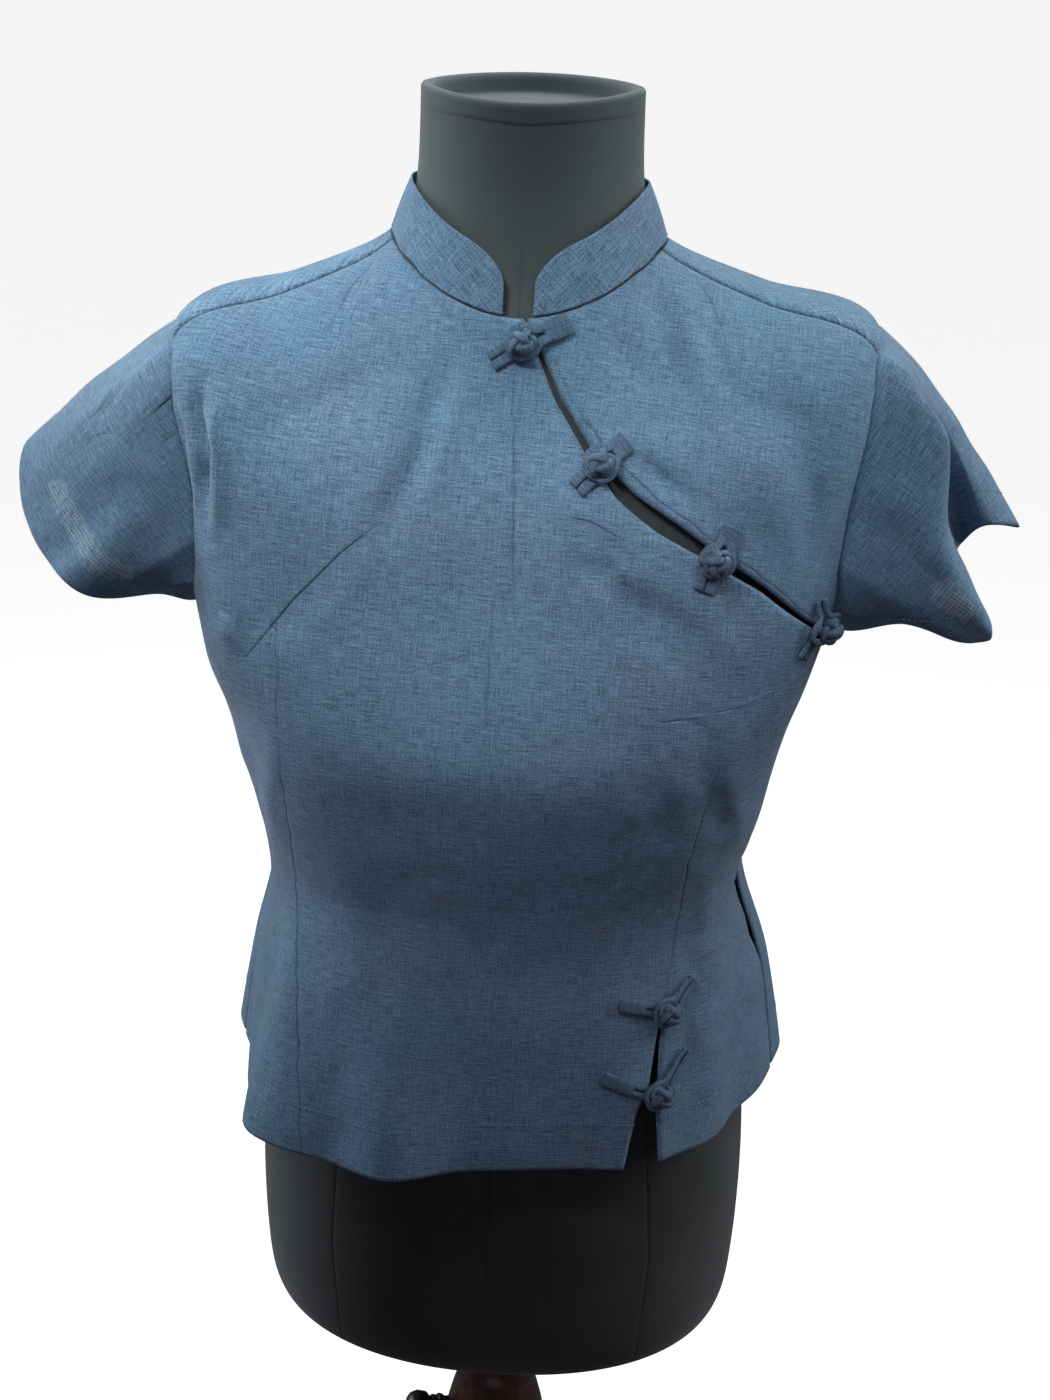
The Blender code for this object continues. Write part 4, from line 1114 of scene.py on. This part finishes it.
def collar_band():
    t = np.linspace(0, 1, 241)
    eased = t - 0.1 * np.sin(2 * math.pi * t)
    angle = COLLAR_FRONT_ANGLE + (360 - 2 * COLLAR_FRONT_ANGLE) * eased
    turned = np.maximum(0.0, np.minimum(angle, 360 - angle) - COLLAR_FRONT_ANGLE)
    inset = np.maximum(0.0, COLLAR_CORNER - np.radians(turned) * COLLAR_TOP_HALF_WIDTH)
    height = COLLAR_HEIGHT - COLLAR_CORNER + np.sqrt(np.maximum(0, COLLAR_CORNER**2 - inset**2))
    foot = cloth_place(np.full_like(angle, NECK_SEAM), angle) + np.array([0, 0, 1.2 * SEAM_GAP])
    sine = np.sin(np.radians(angle))
    cosine = np.cos(np.radians(angle))
    depth = np.where(cosine > 0, COLLAR_TOP_FRONT, COLLAR_TOP_BACK)
    drop = np.where(cosine > 0, COLLAR_TOP_DROP, 0)
    top = np.stack(
        [COLLAR_TOP_HALF_WIDTH * sine, -depth * cosine, COLLAR_TOP_HEIGHT - drop * cosine**2], -1
    )
    shares = np.concatenate([[0, 0.03], np.linspace(0.06, 0.95, 34), [0.985, 1.0]])
    reach = (height / COLLAR_HEIGHT)[None, :] * shares[:, None]
    points = foot[None] + (top - foot)[None] * reach[..., None]
    length = np.cumsum(np.linalg.norm(np.gradient(foot, axis=0), axis=1))
    pucker = soft_noise(length, length * 0, 9, 4.0) * 0.25 + soft_noise(length, length * 0, 23, 7.0) * 0.5
    belly = np.sin(math.pi * shares)[:, None] * 0.6
    inwards = np.stack([-sine, cosine, np.zeros_like(sine)], -1)
    points = points - inwards[None] * (pucker[None, :] * (1 - reach) + belly)[..., None]
    points = creased(points, COLLAR_CREASES)
    points = sunk_edges(points, columns=(0, -1), rows=(0, -1), depth=0.5)
    grain = ((2, 120), (34, 120))
    cloth_piece("collar_band", points, "collar", (0.42, 0.04), 0.0155, grain, thick=0.0013)
    return points


collar_grid = collar_band()


# Frog fastenings
# Strips of the same cloth, sewn into cords. Two cords side by side make a strap, which ends
# on one side in a ball knot and on the other in a loop that goes over the knot.
FROGS = [
    # knot x and height, end of the knot's strap, end of the loop's strap, width, tab on each
    (3, 963, -13, 953, 26, 973, 11.5, False, True),
    (47, 904, 35, 892, 60, 916, 11.5, False, True),
    (110, 858, 104, 842, 118, 875, 11.5, False, True),
    (170, 813, 160, 799, 168, 830, 8, False, False),
    (98, 582, 72, 591, 113, 597, 8, True, False),
    (96, 534, 64, 548, 112, 555, 8, True, False),
]
CORD_HALF_THICK = 1.25
BALL_RADIUS = 5.3
BALL_STRAND = 2.1
BALL_CENTRE = 7.0


def surface_of(*grids):
    """A function that gives the outermost cloth point and its direction at an x and height."""
    trees = []
    for grid in grids:
        rows, columns = grid.shape[:2]
        index = np.arange(rows * columns).reshape(rows, columns)
        quads = np.stack([index[:-1, :-1], index[:-1, 1:], index[1:, 1:], index[1:, :-1]], -1)
        trees.append(BVHTree.FromPolygons(grid.reshape(-1, 3).tolist(), quads.reshape(-1, 4).tolist()))

    def seat(x, height):
        hits = []
        for tree in trees:
            place, direction, _, _ = tree.ray_cast(Vector((x, -400, height)), Vector((0, 1, 0)))
            if place is not None:
                hits.append((place.y, place, direction if direction.y < 0 else -direction))
        _, place, direction = min(hits, key=lambda hit: hit[0])
        return np.array(place), np.array(direction)

    return seat


def smooth_route(points, count):
    """A smooth curve through a few points."""
    points = np.array(points, float)
    steps = np.linalg.norm(np.diff(points, axis=0), axis=1) ** 0.5
    knots = np.append(0, np.cumsum(steps))
    slopes = np.gradient(points, knots, axis=0)
    t = np.linspace(0, knots[-1], count)
    low = np.clip(np.searchsorted(knots, t, side="right") - 1, 0, len(points) - 2)
    width = (knots[low + 1] - knots[low])[:, None]
    share = (t - knots[low])[:, None] / width
    return curved(points[low], points[low + 1], slopes[low] * width, slopes[low + 1] * width, share)


def cord_rings(route, ups, half_width, half_thick, looped=False, sides=14):
    """Rings of a flattened cord along a route, whose flat side faces ups."""
    if looped:
        tangents = unit(np.roll(route, -1, 0) - np.roll(route, 1, 0))
    else:
        tangents = unit(np.gradient(route, axis=0))
    across = unit(np.cross(ups, tangents))
    ups = unit(np.cross(tangents, across))
    turn = np.linspace(0, 2 * math.pi, sides + 1)[:-1]
    wide = np.copysign(np.abs(np.cos(turn)) ** 0.8, np.cos(turn)) * half_width
    tall = np.copysign(np.abs(np.sin(turn)) ** 0.8, np.sin(turn)) * half_thick
    rings = route[:, None] + across[:, None] * wide[None, :, None] + ups[:, None] * tall[None, :, None]
    if looped:
        return rings
    centres = rings.mean(1, keepdims=True)
    first = [centres[0] - tangents[0] * 0.45 + (rings[0] - centres[0]) * share for share in (0.1, 0.75)]
    last = [centres[-1] + tangents[-1] * 0.45 + (rings[-1] - centres[-1]) * share for share in (0.75, 0.1)]
    return np.concatenate([np.array(first), rings, np.array(last)])


def on_cloth(seat, ends, route, heights):
    """Places and directions over the cloth of a plane route along and across a strap."""
    start, end = np.array(ends[0], float), np.array(ends[1], float)
    along = (end - start) / np.linalg.norm(end - start)
    across = np.array([-along[1], along[0]])
    places = []
    ups = []
    for (a, b), height in zip(route, heights):
        x, z = start + along * a + across * b
        place, direction = seat(x, z)
        places.append(place + direction * height)
        ups.append(direction)
    smooth_ups = np.array(ups)
    for _ in range(3):
        smooth_ups[1:-1] = unit(smooth_ups[:-2] + smooth_ups[1:-1] + smooth_ups[2:])
    return np.array(places), smooth_ups


def ball_knot(centre, up, along):
    """A button knot: one strand that goes three times round a ball, over and under itself."""
    t = np.linspace(0, 6 * math.pi, 241)[:-1]
    slant = 1.02 * np.cos(4 * t / 3)
    reach = BALL_RADIUS + 1.1 * np.sin(8 * t / 3 + 0.4)
    local = np.stack([np.cos(slant) * np.cos(t), np.cos(slant) * np.sin(t), np.sin(slant)], -1)
    across = np.cross(up, along)
    # The strand turns round an axis that leans along the strap.
    axis = unit(along * 0.8 + up * 0.6)
    side = unit(np.cross(axis, across))
    frame_of_ball = np.stack([side, across, axis])
    directions = local @ frame_of_ball
    route = centre + directions * reach[:, None]
    flat = (route - centre) @ up
    route = route - up[None] * (flat * 0.12)[:, None]
    return cord_rings(route, directions, BALL_STRAND, BALL_STRAND * 0.72, looped=True, sides=12)


def frog(number, seat, row):
    knot_x, knot_z, knot_end_x, knot_end_z, loop_end_x, loop_end_z, width, knot_tab, loop_tab = row
    knot = (knot_x, knot_z)
    lane = width / 4
    place, up = seat(*knot)
    strap_ends = (knot, (knot_end_x, knot_end_z))
    length = math.dist(*strap_ends)
    ahead = seat(knot_x + (loop_end_x - knot_end_x) / 8, knot_z + (loop_end_z - knot_end_z) / 8)[0] - place
    along = unit(ahead - up * (ahead @ up))
    centre = place + up * BALL_CENTRE
    ball = ball_knot(centre, up, along)
    core = centre + (ball - centre).reshape(-1, 3).mean(0)
    parts = [(ball, True)]
    for side in (-1, 1):
        route = [(2.0, side * lane), (length * 0.6, side * lane * 1.02), (length, side * lane)]
        route = smooth_route(route, 14)
        heights = np.full(len(route), CORD_HALF_THICK + 0.15)
        places, ups = on_cloth(seat, strap_ends, route, heights)
        parts.append((cord_rings(places, ups, lane * 0.98, CORD_HALF_THICK), False))
    if knot_tab:
        route = smooth_route([(length * 0.45, 0), (length * 0.8, 0), (length + 0.4, 0)], 8)
        places, ups = on_cloth(seat, strap_ends, route, np.full(8, CORD_HALF_THICK + 1.0))
        parts.append((cord_rings(places, ups, width / 2 + 0.2, 0.9, sides=20), False))
    add_frog(f"frog_{number}_button", f"frog_{number}_knot", parts, core)
    loop_ends = (knot, (loop_end_x, loop_end_z))
    length = math.dist(*loop_ends)
    wide = BALL_RADIUS + 2.6
    half = [(length, lane), (length * 0.75, lane), (wide * 0.95, lane * 1.3), (wide * 0.5, wide * 0.84)]
    half += [(-wide * 0.25, wide * 0.93)]
    route = half + [(-wide * 0.93, 0)] + [(a, -b) for a, b in half[::-1]]
    route = smooth_route(route, 60)
    reach = np.clip((length - route[:, 0]) / max(length - wide * 0.6, 1), 0, 1)
    heights = CORD_HALF_THICK + 0.2 + 3.0 * reach**1.6
    places, ups = on_cloth(seat, loop_ends, route, heights)
    parts = [(cord_rings(places, ups, lane * 0.86, CORD_HALF_THICK), False)]
    if loop_tab:
        route = smooth_route([(length * 0.5, 0), (length * 0.8, 0), (length + 0.4, 0)], 8)
        places, ups = on_cloth(seat, loop_ends, route, np.full(8, CORD_HALF_THICK + 1.3))
        parts.append((cord_rings(places, ups, width / 2 + 0.2, 0.9, sides=20), False))
    add_frog(f"frog_{number}_cord", f"frog_{number}_loop", parts)


def add_frog(name, node, parts, core=None):
    """Join the cords of one half of a frog into one piece. core is the middle of its ball."""
    builder = bmesh.new()
    for rings, looped in parts:
        mesh = grid_mesh(name, rings, closed=True, looped=looped)
        if looped:
            cord = bmesh.new()
            cord.from_mesh(mesh)
            bmesh.ops.recalc_face_normals(cord, faces=cord.faces)
            cord.to_mesh(mesh)
            cord.free()
        else:
            capped(mesh)
        builder.from_mesh(mesh)
        bpy.data.meshes.remove(mesh)
    if core is not None:
        middle = Matrix.Translation(Vector(core) * MM)
        radius = (BALL_RADIUS - 0.6) * MM
        bmesh.ops.create_uvsphere(builder, u_segments=20, v_segments=12, radius=radius, matrix=middle)
    mesh = bpy.data.meshes.new(name)
    builder.to_mesh(mesh)
    builder.free()
    mesh.shade_smooth()
    piece = placed(name, mesh, CORD_LINEN)
    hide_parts(node)


# The cords get a darker copy of the top's cloth: painted shade on the cords.
CORD_LINEN = blue_linen("cord_linen", (0.030, 0.062, 0.096), (0.112, 0.196, 0.282), (0.18, 0.28, 0.36))
whole_rows = np.linspace(HEM, NECK_SEAM, 160)
whole_front = cloth_place(whole_rows[:, None], np.linspace(-90, 90, 121)[None, :])
seat = surface_of(front_grid, chest_grid, whole_front)
for number, row in enumerate(FROGS, 1):
    frog(number, seat, row)


# Stitching
# Rows of small machine stitches in a slightly paler thread, along the hems and the foot of
# the collar.
HEM_TURNING, SLEEVE_TURNING, COLLAR_MARGIN = 28, 22, 1.6
STITCH_PITCH = 0.0031
STITCH_LENGTH = 0.0023
STITCH_THICK = 0.0005


def sewing_tree(thread):
    """Geometry Nodes: a small rounded stitch at even steps along each edge chain."""
    tree = bpy.data.node_groups.new("sewing", "GeometryNodeTree")
    face = tree.interface
    face.new_socket("Geometry", in_out="INPUT", socket_type="NodeSocketGeometry")
    for name in ("Pitch", "Length", "Thickness"):
        face.new_socket(name, in_out="INPUT", socket_type="NodeSocketFloat")
    face.new_socket("Geometry", in_out="OUTPUT", socket_type="NodeSocketGeometry")
    add = node_maker(tree)
    given = add("NodeGroupInput").outputs
    curve = add("GeometryNodeMeshToCurve", {0: given["Geometry"]})
    along = {"Curve": curve.outputs[0], "Length": given["Pitch"]}
    spots = add("GeometryNodeCurveToPoints", along, mode="LENGTH")
    ball = add("GeometryNodeMeshUVSphere", {"Segments": 6, "Rings": 4, "Radius": 0.5})
    uneven = add("FunctionNodeRandomValue", {2: 0.8, 3: 1.1, "Seed": 7}, data_type="FLOAT")
    length = worked(add, "MULTIPLY", given["Length"], uneven.outputs[1])
    size = add("ShaderNodeCombineXYZ", {0: given["Thickness"], 1: given["Thickness"], 2: length})
    stitch = {
        "Points": spots.outputs["Points"],
        "Instance": ball.outputs["Mesh"],
        "Rotation": spots.outputs["Rotation"],
        "Scale": size.outputs[0],
    }
    sewn = add("GeometryNodeInstanceOnPoints", stitch)
    real = add("GeometryNodeRealizeInstances", {0: sewn.outputs[0]})
    finish = add("GeometryNodeSetMaterial", {"Geometry": real.outputs[0], "Material": thread})
    add("NodeGroupOutput", {0: finish.outputs[0]})
    return tree


def blue_thread():
    material, shader = new_material("blue_thread", 0.7, Sheen_Weight=0.1)
    add = node_maker(material)
    uneven = noise_on(add, add("ShaderNodeTexCoord").outputs["Object"], (400, 400, 400), 2)
    filled(shader, {"Base Color": mixed_color(add, uneven, (0.15, 0.23, 0.31), (0.28, 0.39, 0.48))})
    return material


def in_from_edge(grid, distance, rise=0.2):
    """The row of points at a distance along the grid's columns from its first row."""
    lengths = np.cumsum(np.linalg.norm(np.diff(grid, axis=0), axis=2), axis=0)
    lengths = np.concatenate([np.zeros((1, grid.shape[1])), lengths])
    outwards = grid_directions(grid)
    row = []
    for column in range(grid.shape[1]):
        step = min(np.searchsorted(lengths[:, column], distance), len(lengths) - 4)
        gone, next_gone = lengths[step - 1, column], lengths[step, column]
        share = min((distance - gone) / (next_gone - gone), 1.0)
        low, high = grid[step - 1, column], grid[step, column]
        row.append(low + (high - low) * share + outwards[step, column] * rise)
    return np.array(row)


def sewing_rows():
    """Every row of stitches on the cloth, as lists of points in millimetres."""
    hems = [front_grid[:, : vent_column + 1], front_grid[:, vent_column + 1 :], back_grid]
    rows = [in_from_edge(grid, HEM_TURNING) for grid in hems]
    for grid in (right_sleeve_grid, left_sleeve_grid):
        row = in_from_edge(grid[::-1], SLEEVE_TURNING, rise=-0.2)
        rows.append(np.concatenate([row, row[:1]]))
    rows.append(in_from_edge(collar_grid, COLLAR_MARGIN))
    return rows


def stitching():
    rows = sewing_rows()
    points = np.concatenate(rows) * MM
    starts = np.append(0, np.cumsum([len(row) for row in rows]))
    edges = [(k, k + 1) for first, last in zip(starts, starts[1:]) for k in range(first, last - 1)]
    mesh = bpy.data.meshes.new("stitch_rows")
    mesh.from_pydata(points.tolist(), edges, [])
    guide = bpy.data.objects.new("stitch_rows", mesh)
    bpy.context.scene.collection.objects.link(guide)
    tree = sewing_tree(blue_thread())
    modifier = guide.modifiers.new("sewing", "NODES")
    modifier.node_group = tree
    values = {"Pitch": STITCH_PITCH, "Length": STITCH_LENGTH, "Thickness": STITCH_THICK}
    for item in tree.interface.items_tree:
        if item.name in values:
            modifier[item.identifier] = values[item.name]
    shown = bpy.context.evaluated_depsgraph_get()
    made = bpy.data.meshes.new_from_object(guide.evaluated_get(shown))
    bpy.data.objects.remove(guide)
    made.name = "stitching"
    made.shade_smooth()
    piece = bpy.data.objects.new("stitching", made)
    bpy.context.scene.collection.objects.link(piece)
    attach(piece, "root")


stitching()


# Stand
# A turned hardwood neck on a steel post and a weighted round base, dark brown and varnished,
# with a steel clamp screw in the neck's side.
BASE_PROFILE = [
    (0, 26), (24, 26), (30, 23), (60, 20), (120, 17), (150, 14), (158, 8), (160, 4), (160, 0), (0, 0),
]
NECK_PROFILE = [
    (0, 299.7), (52, 299.7), (54, 296), (52, 291), (30, 286), (25, 278), (23, 262), (24, 246),
    (27, 240), (28, 236), (26, 231), (29, 222), (33, 206), (34, 190), (31, 170), (25, 154),
    (20, 146), (21, 142), (19, 138), (0, 138),
]
POST_PROFILE = [(0, 137.7), (13, 137.7), (13, 26.3), (0, 26.3)]
SCREW_PROFILE = [
    (0, 62), (7, 62), (10, 59), (11, 54), (9, 48), (5.5, 46), (6.5, 44.5), (6.5, 43), (5.5, 41.5),
    (6.5, 40), (6.5, 38.5), (5.5, 37), (4, 35.5), (4, 32.8), (0, 32.8),
]
SCREW_HEIGHT = 212
SCREW_AIM = (-0.94, -0.34, 0)


def dark_wood():
    """Stained hardwood: long grain up the piece, under a worn coat of varnish."""
    material, shader = new_material("dark_wood", 0.42, Coat_Weight=0.35, Coat_Roughness=0.25)
    add = node_maker(material)
    place = add("ShaderNodeTexCoord").outputs["Object"]
    grain = noise_on(add, place, (90, 90, 7), 4)
    fine = noise_on(add, place, (700, 700, 40), 3)
    both = worked(add, "MULTIPLY_ADD", fine, 0.35, grain)
    color = mixed_color(add, both, (0.022, 0.010, 0.006), (0.105, 0.048, 0.024), 0.45, 0.9)
    filled(shader, {"Base Color": color})
    bumped(add, fine, 0.15, 0.0003, shader)
    return material


def dark_steel():
    """Blackened steel with turning marks and dull spots."""
    material, shader = new_material("dark_steel", 0.4, Metallic=0.9)
    add = node_maker(material)
    place = add("ShaderNodeTexCoord").outputs["Object"]
    marks = noise_on(add, place, (60, 60, 900), 3)
    spots = noise_on(add, place, (120, 120, 120), 3)
    rough = add("ShaderNodeMapRange", {"Value": spots, "To Min": 0.28, "To Max": 0.6})
    color = mixed_color(add, marks, (0.05, 0.047, 0.043), (0.13, 0.122, 0.11))
    filled(shader, {"Base Color": color, "Roughness": rough.outputs["Result"]})
    return material


def turned(name, node, profile, material, slot, step, softness, pose=None):
    """A turned piece from a profile of radius and height, its corners a little rounded."""
    profile = np.array(profile, float)
    lengths = np.append(0, np.cumsum(np.linalg.norm(np.diff(profile, axis=0), axis=1)))
    count = int(lengths[-1] / step)
    even = np.linspace(0, lengths[-1], count)
    line = np.stack([np.interp(even, lengths, profile[:, k]) for k in range(2)], 1)
    for _ in range(softness):
        line[1:-1] = (line[:-2] + 2 * line[1:-1] + line[2:]) / 4
    turn = np.linspace(0, 2 * math.pi, 97)[:-1]
    radius = line[:, :1]
    height = np.broadcast_to(line[:, 1:], (count, 96))
    points = np.stack([radius * np.cos(turn), radius * np.sin(turn), height], -1)
    mesh = grid_mesh(name, points, closed=True)
    if pose is not None:
        mesh.transform(pose)
    capped(mesh)
    piece = placed(name, mesh, material)
    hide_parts(node)


WOOD = dark_wood()
STEEL = dark_steel()
turned("turned_neck", "stand_neck", NECK_PROFILE, WOOD, "stand_wood", 1.2, 3)
turned("round_base", "stand_base", BASE_PROFILE, WOOD, "stand_wood", 1.5, 3)
turned("steel_post", "stand_post", POST_PROFILE, STEEL, "stand_metal", 1.0, 1)
screw_turn = Vector(SCREW_AIM).to_track_quat("Z", "Y").to_matrix().to_4x4()
screw_pose = Matrix.Translation((0, 0, SCREW_HEIGHT * MM)) @ screw_turn
turned("clamp_thumbscrew", "clamp_screw", SCREW_PROFILE, STEEL, "stand_metal", 0.6, 1, screw_pose)
